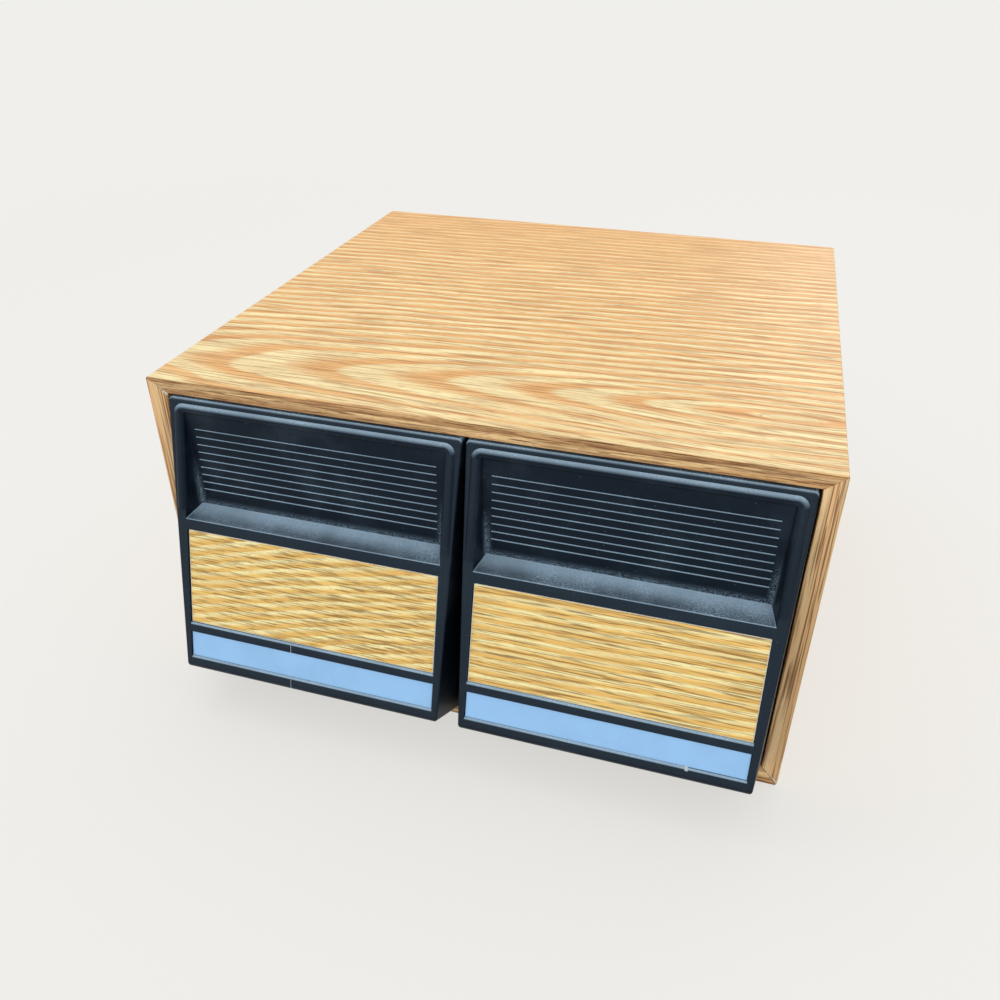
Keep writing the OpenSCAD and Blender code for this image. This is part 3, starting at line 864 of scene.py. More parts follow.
def speckle_group():
    """Fine uneven grain of a moulded or pressed surface, with scattered specks."""
    name = "fine_speckle"
    if name in bpy.data.node_groups:
        return bpy.data.node_groups[name]
    tree, given, result = new_group(
        name,
        [("Vector", "NodeSocketVector", None), ("Grain", "NodeSocketFloat", 2500.0)],
        [("Grain", "NodeSocketFloat"), ("Blotch", "NodeSocketFloat"), ("Specks", "NodeSocketFloat")],
    )
    vector = given["Vector"]
    inputs = {0: vector, "Scale": given["Grain"]}
    grained = place(tree, "ShaderNodeVectorMath", inputs, operation="SCALE").outputs[0]
    grain = place(tree, "ShaderNodeTexNoise", {"Vector": grained, "Scale": 1.0, "Detail": 2.0}).outputs["Fac"]
    inputs = {"Vector": vector, "Scale": SPECK_SCALE, "Randomness": 1.0}
    cells = place(tree, "ShaderNodeTexVoronoi", inputs).outputs
    chosen = place(tree, "ShaderNodeSeparateColor", {0: cells["Color"]}).outputs[0]
    dots = fall(tree, cells["Distance"], *SPECK_EDGE)
    specks = times(tree, dots, calc(tree, "GREATER_THAN", chosen, SPECKED_FROM))
    blotch = noise(tree, vector, BLOTCH_SCALE, 4)
    fill(tree, result, {"Grain": grain, "Blotch": blotch, "Specks": specks})
    return tree


def speckled(name, grain):
    """Starts a material with the fine speckle, and gives it, its tree, its shader and the speckle's masks."""
    material, tree, shader = new_material(name)
    return material, tree, shader, use_group(tree, speckle_group(), Vector=object_place(tree), Grain=grain)


def pressed_board(name, tone, fibre_scale, rough):
    """Bare board of pressed fibres."""
    if name in bpy.data.materials:
        return bpy.data.materials[name]
    material, tree, shader, speckle = speckled(name, fibre_scale)
    dark = shaded(tone, BOARD_DARK)
    fibres = ease(tree, speckle["Grain"], *BOARD_FIBRES_IN)
    base = mix_colour(tree, fibres, dark, shaded(tone, BOARD_LIGHT))
    blotches = times(tree, ease(tree, speckle["Blotch"], *BOARD_BLOTCHES_IN), BOARD_BLOTCHES)
    base = mix_colour(tree, blotches, base, dark)
    finish = {
        "Base Color": base,
        "Roughness": uneven(tree, rough, speckle["Grain"], BOARD_UNEVEN),
        "Normal": bump(tree, speckle["Grain"], *BOARD_RELIEF),
    }
    fill(tree, shader, finish)
    return material


def hardboard():
    """Brown hardboard of the back."""
    return pressed_board("pressed_hardboard", settings().finish.hardboard, 1400, 0.5)


def fibreboard():
    """Bare board inside the cabinet."""
    return pressed_board("bare_fibreboard", settings().finish.fibreboard, 1900, 0.75)


def cut_edge():
    """Pale core where film or insert is cut."""
    return pressed_board("cut_edge", settings().finish.cut_edge, 2600, 0.7)


def stress_mark():
    """Whitened plastic where a front is cracked or nicked."""
    return pressed_board("stress_mark", settings().finish.stress, 2600, 0.6)


def depth_below(tree, vector, point, way):
    """How far a place lies below a plane."""
    from_point = vector_calc(tree, "SUBTRACT", vector, point)[0]
    return times(tree, vector_calc(tree, "DOT_PRODUCT", from_point, way)["Value"], -1.0)


def corner_dust(tree, vector):
    """How near a place is to a recess's lower back corners, from 0 to 1, and its depth below the face."""
    face = LeaningFace()
    _, back, sill, _, side = recess_planes(face)
    parts = parts_of(tree, vector)
    across = calc(tree, "SUBTRACT", calc(tree, "FLOORED_MODULO", parts["X"], FRONT_PITCH), FRONT_PITCH / 2)
    across = calc(tree, "ADD", calc(tree, "ABSOLUTE", across), FRONT_X)
    folded = vector_of(tree, across, parts["Y"], parts["Z"])
    planes = (back, sill, side, (face.top, face.outward))
    to_back, to_sill, to_side, below = [depth_below(tree, folded, *plane) for plane in planes]
    by_back = fall(tree, to_back, 0.0, BACK_REACH)
    by_side = fall(tree, to_side, 0.0, SIDE_REACH)
    along_back = times(tree, by_back, fall(tree, to_sill, 0.0, SILL_REACH), BACK_SHARE)
    in_corner = times(tree, by_side, fall(tree, to_sill, *CORNER_RISE), by_back)
    inside = calc(tree, "GREATER_THAN", calc(tree, "MINIMUM", to_sill, to_side), -RECESS_SLACK)
    inside = times(tree, inside, calc(tree, "GREATER_THAN", below, RECESS_SLACK))
    return times(tree, calc(tree, "MAXIMUM", along_back, in_corner), inside), below


def dust_and_painted_highlight(tree, speckle, below):
    """Patchy dust on what faces up, mixed with a painted highlight that stands in for the bright sky the
    plastic reflects; less on flat ledges near the face and deep inside the trays.
    """
    upward = parts_of(tree, place(tree, "ShaderNodeNewGeometry").outputs["Normal"])["Z"]
    deep_ledge_restore = times(tree, ease(tree, below, *DEEP_LEDGE_DEPTH), DEEP_LEDGE_RESTORE)
    flat_ledge_cut = calc(tree, "SUBTRACT", FLAT_LEDGE_CUT, deep_ledge_restore)
    in_blotches = ease(tree, speckle["Blotch"], *PATCHY_BLOTCHES)
    patchy = times(tree, in_blotches, ease(tree, speckle["Grain"], *PATCHY_GRAIN))
    # Painted highlight mixed with the dust: full on sloping tops such as the bead and the rail bevels, less
    # on flat ledges
    dust_and_highlight_share = calc(tree, "SUBTRACT", DUST_AND_HIGHLIGHT_SHARE, times(tree, ease(tree, upward, *LYING_FLAT), flat_ledge_cut))
    dust_and_highlight_share = uneven(tree, dust_and_highlight_share, patchy, PATCHY_SHARE)
    dust_and_highlight_share = calc(tree, "MULTIPLY", ease(tree, upward, *FACING_UP), dust_and_highlight_share, clamp=True)
    deep_tray_cut = times(tree, ease(tree, below, *DEEP_TRAY_DEPTH), DEEP_TRAY_CUT)
    return times(tree, dust_and_highlight_share, calc(tree, "SUBTRACT", 1.0, deep_tray_cut))


def navy_plastic():
    """Dark moulded plastic, satin, with settled dust in the corners and on what faces up, where a painted
    highlight of the bright sky is mixed in.
    """
    name = "moulded_navy"
    if name in bpy.data.materials:
        return bpy.data.materials[name]
    tones = settings().finish
    material, tree, shader, speckle = speckled(name, NAVY_GRAIN)
    corner, below = corner_dust(tree, object_place(tree))
    dust_and_highlight_share = dust_and_painted_highlight(tree, speckle, below)
    film = times(tree, ease(tree, speckle["Blotch"], *DUST_FILM_IN), DUST_FILM)
    specks = times(tree, speckle["Specks"], DUST_SPECKS)
    gritty = times(tree, corner, ease(tree, speckle["Grain"], *GRIT_IN), GRIT_SHARE)
    # The share that faces up is dust with a painted sky highlight; the film, the specks and the corner grit
    # are dust only
    share = dust_and_highlight_share
    for mask in (film, specks, gritty):
        share = calc(tree, "MAXIMUM", share, mask)
    satin = uneven(tree, NAVY_ROUGHNESS, speckle["Blotch"], NAVY_UNEVEN)
    finish = {
        "Base Color": mix_colour(tree, share, tones.navy, tones.dust_and_sky_highlight),
        "Roughness": uneven(tree, satin, dust_and_highlight_share, DUST_ROUGHNESS),
        "Normal": bump(tree, speckle["Grain"], *NAVY_RELIEF),
        "Specular IOR Level": NAVY_SHINE,
        # Painted reflection colour: the blue sky's tint on the shine
        "Specular Tint": rgba(tones.painted_sky_tint),
    }
    fill(tree, shader, finish)
    return material


def label_blue():
    """Light blue strip, slightly uneven and faintly scuffed."""
    name = "strip_blue"
    if name in bpy.data.materials:
        return bpy.data.materials[name]
    tone = settings().finish.label_blue
    material, tree, shader, speckle = speckled(name, STRIP_GRAIN)
    blotches = times(tree, ease(tree, speckle["Blotch"], *STRIP_BLOTCHES_IN), STRIP_BLOTCHES)
    base = mix_colour(tree, blotches, tone, shaded(tone, STRIP_SHADE))
    base = mix_colour(tree, times(tree, speckle["Specks"], SCUFF_SHARE), base, SCUFF)
    finish = {
        "Base Color": base,
        "Roughness": uneven(tree, STRIP_ROUGHNESS, speckle["Grain"], STRIP_UNEVEN),
        "Normal": bump(tree, speckle["Grain"], *STRIP_RELIEF),
    }
    fill(tree, shader, finish)
    return material


def dulled(name, tone, shade, grain, blotch, rough, metal=0.0):
    """A plain finish with darker blotches and an uneven shine."""
    if name in bpy.data.materials:
        return bpy.data.materials[name]
    material, tree, shader, speckle = speckled(name, grain)
    even, rougher = rough
    finish = {
        "Base Color": mix_colour(tree, ease(tree, speckle["Blotch"], *blotch), tone, shaded(tone, shade)),
        "Roughness": uneven(tree, even, speckle["Grain"], rougher),
        "Metallic": metal,
    }
    fill(tree, shader, finish)
    return material


def worn_steel():
    """Plated steel of screws and nails."""
    steel = settings().finish.steel
    return dulled(
        "worn_steel", steel, shade=0.55, grain=3000, blotch=(0.35, 0.7), rough=(0.25, 0.3), metal=1.0,
    )


def nylon():
    """Milky nylon of the glides."""
    milky = settings().finish.nylon
    return dulled("milky_nylon", milky, shade=0.8, grain=2000, blotch=(0.4, 0.75), rough=(0.38, 0.15))


# Boards

def board_wrap():
    """The four boards as one open box, with its folds and edges rounded."""
    sizes = settings().board
    inward = Vector((BOARD, 0, BOARD))
    reach = Vector((0, BOARD, 0))
    wrap = add_block("board_wrap", CABINET_LOW, CABINET_HIGH)
    cut(wrap, add_block("opening", CABINET_LOW + inward - reach, CABINET_HIGH - inward + reach))
    cut(wrap, add_block("rebate", BACK_LOW, BACK_HIGH + reach))
    clean(wrap)
    front = CABINET_LOW.y
    edge_y = front + sizes.edge_fall
    half = CABINET_HIGH.x
    with editing(wrap, "VERT") as mesh:
        pick(mesh.verts, lambda v: near(v.co.y, front) and abs(v.co.x) < half - BOARD / 2)
        bpy.ops.transform.translate(value=(0, sizes.edge_fall, 0))

    def is_fold(edge):
        spot = middle(edge)
        in_corner = near(abs(spot.x), half) and any(near(spot.z, z) for z in (CABINET_LOW.z, CABINET_HIGH.z))
        return in_corner and alignment(edge, Y_AXIS) > 0.99

    def is_rim(edge):
        ends = [v.co.y for v in edge.verts]
        rims = (front, edge_y, CABINET_HIGH.y)
        return is_sharp(edge) and any(all(near(y, rim) for y in ends) for rim in rims)

    round_edges(wrap, sizes.fold_round, 4, is_fold)
    round_edges(wrap, sizes.edge_round, 2, is_rim)
    return wrap


def mitre_planes(name):
    """The two mitres of a board, each a point and its outward direction."""
    right_up = Vector((CABINET_HIGH.x, 0, CABINET_HIGH.z))
    left_up = Vector((CABINET_LOW.x, 0, CABINET_HIGH.z))
    right_down = Vector((CABINET_HIGH.x, 0, CABINET_LOW.z))
    left_down = Vector((CABINET_LOW.x, 0, CABINET_LOW.z))
    falling = X_AXIS - Z_AXIS
    rising = X_AXIS + Z_AXIS
    return {
        "top": [(right_up, falling), (left_up, -rising)],
        "bottom": [(right_down, rising), (left_down, -falling)],
        "left_side": [(left_up, rising), (left_down, falling)],
        "right_side": [(right_up, -falling), (right_down, -rising)],
    }[name]


def add_chip(corner, inward, start, way):
    """A sliver of film missing along a mitre, from a share of the mitre on and wider inward or outward."""
    sizes = settings().board
    ridge = inward * BOARD + Y_AXIS * sizes.edge_fall
    across = X_AXIS + Z_AXIS
    floor_way = across.cross(ridge)
    if floor_way.y < 0:
        floor_way.negate()
    tip = corner + ridge * start
    widening = ridge * way * 0.5 * sizes.chip_width / ridge.length
    planes = [
        (tip, across.normalized() * BOARD - widening),
        (tip, -across.normalized() * BOARD - widening),
        (corner + Y_AXIS * sizes.chip_depth, floor_way),
    ]
    reach = BOARD + MM
    low = corner - Vector((reach, MM, reach))
    high = corner + Vector((reach, BOARD, reach))
    return add_sliced("chip", low, high, planes)


def finish_board(board, outward, planes):
    """Opens the mitre lines of a board and tells film, bare board and cut edge apart."""
    sizes = settings().board
    front = CABINET_LOW.y
    inner = front + sizes.edge_fall + sizes.edge_round

    def on_mitre(edge):
        ends = [v.co for v in edge.verts]
        in_front = all(front - 0.01 * MM < co.y < inner for co in ends)
        meets = any(all(near((co - point).dot(way), 0) for co in ends) for point, way in planes)
        return in_front and meets and is_sharp(edge)

    with editing(board, "EDGE") as mesh:
        pick(mesh.edges, on_mitre)
        bpy.ops.mesh.bevel(offset=sizes.mitre_gap, segments=1, affect="EDGES")
        mesh = bmesh.from_edit_mesh(board.data)
        for face in mesh.faces:
            if face.material_index == CUT:
                continue
            if face.normal.dot(outward) > 0.5:
                face.material_index = FILM
            elif face.normal.y < -0.4:
                face.material_index = EDGE_FILM
            else:
                face.material_index = BARE
    smooth(board)


class DISC_CABINET_OT_boards(bpy.types.Operator):
    """Build the four film-wrapped boards, folded and mitred at the corners"""

    bl_idname = "disc_cabinet.boards"
    bl_label = "Boards"

    def execute(self, context):
        wrap = board_wrap()
        across = (oak_film_across(), oak_edge_across(), fibreboard(), cut_edge())
        upright = (oak_film_upright(), oak_edge_upright(), fibreboard(), cut_edge())
        upper_left = Vector((CABINET_LOW.x, CABINET_LOW.y, CABINET_HIGH.z))
        lower_right = Vector((CABINET_HIGH.x, CABINET_LOW.y, CABINET_LOW.z))
        chips = {
            "left_side": (upper_left, X_AXIS - Z_AXIS, 0.4, 1),
            "right_side": (lower_right, Z_AXIS - X_AXIS, 1.1, -1),
        }
        for name, outward, films in (
            ("top", Z_AXIS, across),
            ("bottom", -Z_AXIS, across),
            ("left_side", -X_AXIS, upright),
            ("right_side", X_AXIS, upright),
        ):
            board = copy_piece(wrap, f"{name}_board")
            for material in films:
                board.data.materials.append(material)
            planes = mitre_planes(name)
            for point, way in planes:
                slice_away(board, point, way)
            if name in chips:
                cut(board, add_chip(*chips[name]), cut_edge())
            finish_board(board, outward, planes)
            set_in(board, "cabinet", "oak_film", [f"{name}_panel"])
        bpy.data.objects.remove(wrap)
        return {"FINISHED"}


class DISC_CABINET_OT_inside(bpy.types.Operator):
    """Finish the divider, the back panel, its nails, the stop battens and the glides"""

    bl_idname = "disc_cabinet.inside"
    bl_label = "Inside and Back"

    def execute(self, context):
        finishes = {
            "center_divider": fibreboard(),
            "back_panel": hardboard(),
            "back_nails": worn_steel(),
            "left_stop_batten": pine(),
            "right_stop_batten": pine(),
            "left_glides": nylon(),
            "right_glides": nylon(),
        }
        for name, material in finishes.items():
            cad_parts[name].data.materials.clear()
            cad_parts[name].data.materials.append(material)
        return {"FINISHED"}


# Drawer fronts

class LeaningFace:
    """Places on the left front's leaning face, across it, down it and below it."""

    def __init__(self):
        sizes = settings().front
        self.turn = math.radians(90) - sizes.lean
        self.outward = Vector((0, -math.cos(sizes.lean), math.sin(sizes.lean)))
        self.down = Vector((0, -math.sin(sizes.lean), -math.cos(sizes.lean)))
        self.top = Vector((FRONT_X, CABINET_LOW.y + sizes.top_setback, FRONT_HIGH.z))
        self.run = (FRONT_HIGH.z - sizes.lip_height) / math.cos(sizes.lean)
        self.lip = self.point(0, self.run)
        self.skirt = Vector((FRONT_X, CABINET_LOW.y, FRONT_LOW.z))
        self.under = self.skirt - self.lip
        self.under_way = Vector((0, self.under.z, -self.under.y)).normalized()
        self.sill_back = self.point(0, sizes.sill_line) + Vector((0, sizes.sill_depth, sizes.sill_fall))

    def point(self, across, down, below=0.0):
        """The place at distances across the face, down it and below it."""
        return self.top + X_AXIS * across + self.down * down - self.outward * below

    def brow(self, side):
        """The upper corner on one side."""
        return self.top + X_AXIS * side * FRONT_HALF

    def nose(self, side):
        """The lower corner on one side."""
        return self.lip + X_AXIS * side * (FRONT_HALF - settings().front.nose_taper)

    def flank(self, side):
        """The outward direction of a tapering side."""
        edge = self.brow(side) - self.nose(side)
        return Vector((side * edge.y, -side * edge.x, 0)).normalized()

    def measure(self, point):
        """The distances of a place across the face, down it and below it."""
        offset = point - self.top
        return offset.x, offset.dot(self.down), -offset.dot(self.outward)

    def add_block(self, name, across, down, below):
        """Adds a block lying on the face, between two distances each way."""
        centre = [sum(pair) / 2 for pair in (across, down, below)]
        size = [pair[1] - pair[0] for pair in (across, down, below)]
        bpy.ops.object.select_all(action="DESELECT")
        bpy.ops.mesh.primitive_cube_add(
            size=1, location=self.point(*centre), rotation=(self.turn, 0, 0), scale=size,
        )
        return take_new(name)


def front_planes(face):
    """Outer planes of a front, each a point and its outward direction."""
    planes = [
        (face.top, face.outward),
        (face.top, Z_AXIS),
        (face.skirt, -Z_AXIS),
        (face.lip, face.under_way),
    ]
    for side in SIDES.values():
        planes.append((face.brow(side), face.flank(side)))
        planes.append((face.brow(side), X_AXIS * side))
    return planes


def nose_planes(face):
    """Planes that round the two lower corners of a front, each a point and its outward direction."""
    radius = settings().front.nose_round
    planes = []
    for side in SIDES.values():
        flank = face.flank(side)
        centre = face.nose(side) - (flank + face.under_way) * radius / (1 + flank.dot(face.under_way))
        for share in (0.25, 0.5, 0.75):
            way = flank.slerp(face.under_way, share)
            planes.append((centre + way * radius, way))
    return planes


def recess_planes(face):
    """Planes of the finger recess, each a point and its direction out of the recess."""
    sizes = settings().front
    lean = sizes.recess_lean
    planes = [
        (face.point(0, sizes.recess_top), Z_AXIS),
        (face.sill_back, Vector((0, math.cos(lean), -math.sin(lean)))),
        (face.sill_back, Vector((0, sizes.sill_fall, -sizes.sill_depth)).normalized()),
    ]
    half = FRONT_HALF - sizes.recess_top
    draft = sizes.recess_draft
    for side in SIDES.values():
        way = X_AXIS * side * math.cos(draft) - face.outward * math.sin(draft)
        planes.append((face.point(side * half, 0), way))
    return planes


def grown(planes, distance):
    """Planes moved outward by a distance."""
    return [(point + way * distance, way) for point, way in planes]


def screw_spots():
    """The four screws of the left front, on the back of the front."""
    sizes = settings().front
    low = SCREW_LOW.z + sizes.screw_head
    for x in (-sizes.screw_spacing / 2, sizes.screw_spacing / 2):
        for z in (low, low + sizes.screw_rise):
            yield Vector((FRONT_X + x, FRONT_HIGH.y, z))


def front_body(face):
    """The moulded front with its outer edges rounded, before anything is cut into it."""
    sizes = settings().front
    margin = Vector((5, 5, 5)) * MM
    high = Vector((FRONT_HIGH.x, FRONT_HIGH.y - margin.y, FRONT_HIGH.z)) + margin
    body = add_sliced("front_body", FRONT_LOW - margin, high, front_planes(face))
    clean(body)

    def is_top_corner(edge):
        spot = middle(edge)
        in_corner = near(spot.z, FRONT_HIGH.z) and abs(spot.x - FRONT_X) > FRONT_HALF - MM
        return in_corner and alignment(edge, Y_AXIS) > 0.9

    def is_lip(edge):
        ends = [face.measure(v.co) for v in edge.verts]
        return all(near(down, face.run) and near(below, 0) for _, down, below in ends)

    def is_outer(edge):
        return is_sharp(edge, 40) and middle(edge).y < FRONT_HIGH.y - MM

    opening = face.under.angle(-face.down)
    round_edges(body, sizes.corner_round, 5, is_top_corner)
    round_edges(body, sizes.lip_round / math.tan(opening / 2), 6, is_lip)
    round_edges(body, sizes.edge_round, 3, is_outer, held=False)
    for point, outward in nose_planes(face):
        slice_away(body, point, outward)
    return body


def hollow_out(body, face):
    """Hollows a front from behind, leaving its walls, the recess and the screw bosses."""
    sizes = settings().front
    reach = Vector((0, 20 * MM, 0))
    planes = grown(front_planes(face), -sizes.wall)
    hollow = add_sliced("front_hollow", FRONT_LOW, FRONT_HIGH + reach, planes)
    walls = grown(recess_planes(face), sizes.recess_wall)
    cut(hollow, add_sliced("recess_walls", FRONT_LOW, FRONT_HIGH, walls))
    for spot in screw_spots():
        cut(hollow, add_rod("boss", spot, spot - reach * 2, sizes.boss_radius))
    cut(body, hollow)
    for spot in screw_spots():
        start = spot + Y_AXIS * MM
        cut(body, add_rod("pilot", start, spot - Y_AXIS * sizes.pilot_depth, sizes.pilot_radius, 16))


def cut_recess(body, face):
    """Cuts the finger recess and rounds its edges."""
    sizes = settings().front
    planes = recess_planes(face)
    ahead = Y_AXIS * 10 * MM
    cut(body, add_sliced("recess", FRONT_LOW - ahead, FRONT_HIGH, planes))
    clean(body)
    slack = 0.1 * MM
    half = FRONT_HALF - sizes.recess_top + slack
    bounds = [*planes, (face.top, face.outward)]

    def in_recess(edge):
        spot = middle(edge)
        across, down, _ = face.measure(spot)
        inside = abs(across) < half and sizes.recess_top - slack < down < sizes.sill_line + slack
        on_planes = sum(near((spot - point).dot(way), 0) for point, way in bounds)
        return inside and on_planes >= 2 and is_sharp(edge, 20)

    round_edges(body, sizes.small_round, 3, in_recess)


def cut_pockets(body, face):
    """Cuts the pockets of the insert and the strip and slopes the rails below them."""
    sizes = settings().front
    across = (-sizes.panel_half, sizes.panel_half)
    for top, bottom, thick in (
        (sizes.insert_top, sizes.insert_bottom, sizes.insert_thick),
        (sizes.strip_top, sizes.strip_bottom, sizes.strip_thick),
    ):
        cut(body, face.add_block("pocket", across, (top, bottom), (-MM, sizes.panel_sink + thick)))
        down = (bottom - MM, bottom + sizes.rail_bevel)
        wedge = face.add_block("slope", across, down, (-MM, sizes.panel_sink))
        foot = face.point(0, bottom, sizes.panel_sink)
        slope = face.down * sizes.rail_bevel + face.outward * sizes.panel_sink
        slice_away(wedge, foot, X_AXIS.cross(slope).normalized())
        cut(body, wedge)
    clean(body)
    slack = 0.05 * MM
    half = sizes.panel_half + slack
    sunk = sizes.panel_sink + 2 * slack
    highest = sizes.insert_top - slack
    lowest = sizes.strip_bottom + 2 * MM

    def on_pocket(edge):
        across_at, down, below = face.measure(middle(edge))
        inside = abs(across_at) < half and highest < down < lowest
        return inside and below < sunk and is_sharp(edge, 15)

    round_edges(body, sizes.pocket_round, 2, on_pocket)


def pick_end(piece, mesh, way, here=lambda spot: True):
    """Selects the end faces of a rod that look a given way."""

    def is_end(face):
        return face.normal.dot(way) > 0.999 and len(face.verts) > 4 and here(face.calc_center_median())

    if not pick(mesh.faces, is_end):
        raise RuntimeError(f"{piece.name}: no end to draw out")


def draw_faces(piece, way, shift, here=lambda spot: True):
    """Draws the end faces that look a given way out by a distance."""
    with editing(piece, "FACE") as mesh:
        pick_end(piece, mesh, way, here)
        bpy.ops.mesh.extrude_region_move(TRANSFORM_OT_translate={"value": shift})


def turn_faces(piece, way, centre):
    """Turns the end faces that look a given way round a centre, by a right angle to the right."""
    with editing(piece, "FACE") as mesh:
        pick_end(piece, mesh, way)
        bpy.ops.mesh.spin(steps=8, angle=math.radians(90), center=centre, axis=Z_AXIS)


def add_bead(face):
    """The raised bead round the top and the sides of the recess, with ends that sink away."""
    sizes = settings().front
    half = FRONT_HALF - sizes.bead_line
    turn_x = half - sizes.bead_corner
    turn_y = -sizes.bead_line - sizes.bead_corner
    low = -sizes.sill_line + sizes.bead_fade
    depth = -sizes.bead_sink
    bead = add_rod("bead", (-half, low, depth), (-half, turn_y, depth), sizes.bead_radius, 32)
    turn_faces(bead, Y_AXIS, (-turn_x, turn_y, depth))
    draw_faces(bead, X_AXIS, (2 * turn_x, 0, 0))
    turn_faces(bead, X_AXIS, (turn_x, turn_y, depth))
    draw_faces(bead, -Y_AXIS, (0, low - turn_y, 0), lambda spot: spot.x > 0)
    draw_faces(bead, -Y_AXIS, (0, -sizes.bead_fade, -sizes.bead_radius))
    clean(bead)
    bead.rotation_euler = (face.turn, 0, 0)
    bead.location = face.top
    select_only(bead)
    bpy.ops.object.transform_apply(location=True, rotation=True, scale=True)
    return bead


def add_ribs(face):
    """The grip ribs across the back of the recess, with round ends."""
    sizes = settings().front
    up = Vector((0, math.sin(sizes.recess_lean), math.cos(sizes.recess_lean)))
    roof = face.point(0, sizes.recess_top)
    first = face.sill_back + up * ((roof.z - face.sill_back.z) / up.z - sizes.rib_drop)
    reach = X_AXIS * sizes.rib_half
    ribs = add_rod("ribs", first - reach, first + reach, sizes.rib_radius, 16)

    def is_end(edge):
        return near(abs(middle(edge).x - FRONT_X), sizes.rib_half)

    round_edges(ribs, sizes.rib_radius * 0.9, 3, is_end)
    repeat(ribs, sizes.rib_count, -up * sizes.rib_pitch)
    return ribs


def crack_rails(front, face):
    """Cuts the crack through the two lower rails of the left front."""
    sizes = settings().front
    across = (-sizes.crack_x - sizes.crack_width / 2, -sizes.crack_x + sizes.crack_width / 2)
    for down in ((sizes.insert_bottom, sizes.strip_top), (sizes.strip_bottom, face.run + sizes.crack_reach)):
        cut(front, face.add_block("crack", across, down, (-MM, sizes.crack_depth)), stress_mark())


def nick_rail(front, face):
    """Cuts the small nick out of the lower rail of the right front."""
    sizes = settings().front
    middle_x = FRONT_PITCH + sizes.nick_x
    across = (middle_x - sizes.nick_size / 2, middle_x + sizes.nick_size / 2)
    down = (sizes.strip_bottom - sizes.nick_size / 4, sizes.strip_bottom + sizes.nick_size)
    nick = face.add_block("nick", across, down, (-MM, sizes.panel_sink + sizes.nick_size / 4))
    round_edges(nick, sizes.nick_size / 3, 2, lambda edge: True)
    cut(front, nick, stress_mark())


class DISC_CABINET_OT_fronts(bpy.types.Operator):
    """Build the two moulded drawer fronts with their recesses, beads and ribs"""

    bl_idname = "disc_cabinet.fronts"
    bl_label = "Drawer Fronts"

    def execute(self, context):
        face = LeaningFace()
        left = front_body(face)
        cut_recess(left, face)
        cut_pockets(left, face)
        fuse(left, add_bead(face))
        hollow_out(left, face)
        fuse(left, add_ribs(face))
        fronts = both_sides(left, "front_moulding")
        for side, front in fronts.items():
            set_in(front, f"{side}_drawer", "navy_plastic", [f"{side}_drawer_front"], navy_plastic())
        crack_rails(fronts["left"], face)
        nick_rail(fronts["right"], face)
        for front in fronts.values():
            smooth(front)
        return {"FINISHED"}


def add_face_panel(face, top, bottom, thick, rounding):
    """A thin panel lying in a pocket of the left front, with its upper edges rounded."""
    sizes = settings().front
    half = sizes.panel_half - sizes.panel_fit
    down = (top + sizes.panel_fit, bottom - sizes.panel_fit)
    below = (sizes.panel_sink, sizes.panel_sink + thick)
    panel = face.add_block("face_panel", (-half, half), down, below)

    def is_upper(edge):
        return all(near(face.measure(v.co)[2], sizes.panel_sink) for v in edge.verts)

    round_edges(panel, rounding, 2, is_upper)
    return panel


class DISC_CABINET_OT_inserts(bpy.types.Operator):
    """Build the wood inserts of the two fronts"""

    bl_idname = "disc_cabinet.inserts"
    bl_label = "Wood Inserts"

    def execute(self, context):
        face = LeaningFace()
        sizes = settings().front
        left = add_face_panel(
            face, sizes.insert_top, sizes.insert_bottom, sizes.insert_thick, sizes.insert_round,
        )
        for side, insert in both_sides(left, "oak_insert").items():
            woods = (oak_insert(side), cut_edge())
            set_in(insert, f"{side}_drawer", "oak_insert", [f"{side}_wood_insert"], *woods)
            for polygon in insert.data.polygons:
                polygon.material_index = 0 if polygon.normal.dot(face.outward) > 0.99 else 1
            smooth(insert)
        return {"FINISHED"}


class DISC_CABINET_OT_label_strips(bpy.types.Operator):
    """Build the label strips of the two fronts"""

    bl_idname = "disc_cabinet.label_strips"
    bl_label = "Label Strips"

    def execute(self, context):
        face = LeaningFace()
        sizes = settings().front
        left = add_face_panel(
            face, sizes.strip_top, sizes.strip_bottom, sizes.strip_thick, sizes.strip_round,
        )
        for side, strip in both_sides(left, "blue_strip").items():
            smooth(strip)
            set_in(strip, f"{side}_drawer", "label_blue", [f"{side}_label_strip"], label_blue())
        return {"FINISHED"}


class DISC_CABINET_OT_trays(bpy.types.Operator):
    """Build the two trays behind the fronts, with softened edges"""

    bl_idname = "disc_cabinet.trays"
    bl_label = "Trays"

    def execute(self, context):
        sizes = settings().front

        def is_long(edge):
            return is_sharp(edge, 40) and edge.calc_length() > sizes.tray_edge

        for side in SIDES:
            tray = copy_node(f"{side}_drawer_tray", f"{side}_case_tray")
            round_edges(tray, sizes.tray_round, 2, is_long)
            smooth(tray)
            set_in(tray, f"{side}_drawer", "navy_plastic", [f"{side}_drawer_tray"], navy_plastic())
        return {"FINISHED"}


def add_screw():
    """One pan head screw with a cross slot, at the left front's first screw."""
    sizes = settings().front
    spot = next(screw_spots())
    seat = Vector((spot.x, SCREW_HIGH.y - sizes.screw_head_tall, spot.z))
    crown = Vector((spot.x, SCREW_HIGH.y, spot.z))
    tip = Vector((spot.x, SCREW_LOW.y, spot.z))
    screw = add_rod("screw", seat, crown, sizes.screw_head, 32)
    round_edges(screw, sizes.screw_head_tall * 0.6, 4, lambda edge: near(middle(edge).y, crown.y))
    for half in (
        Vector((sizes.slot_half, sizes.slot_depth, sizes.slot_half_width)),
        Vector((sizes.slot_half_width, sizes.slot_depth, sizes.slot_half)),
    ):
        cut(screw, add_block("slot", crown - half, crown + half))
    overlap = Y_AXIS * 0.4 * MM
    fuse(screw, add_rod("shank", seat + overlap, tip, sizes.screw_shank, 20))
    return screw


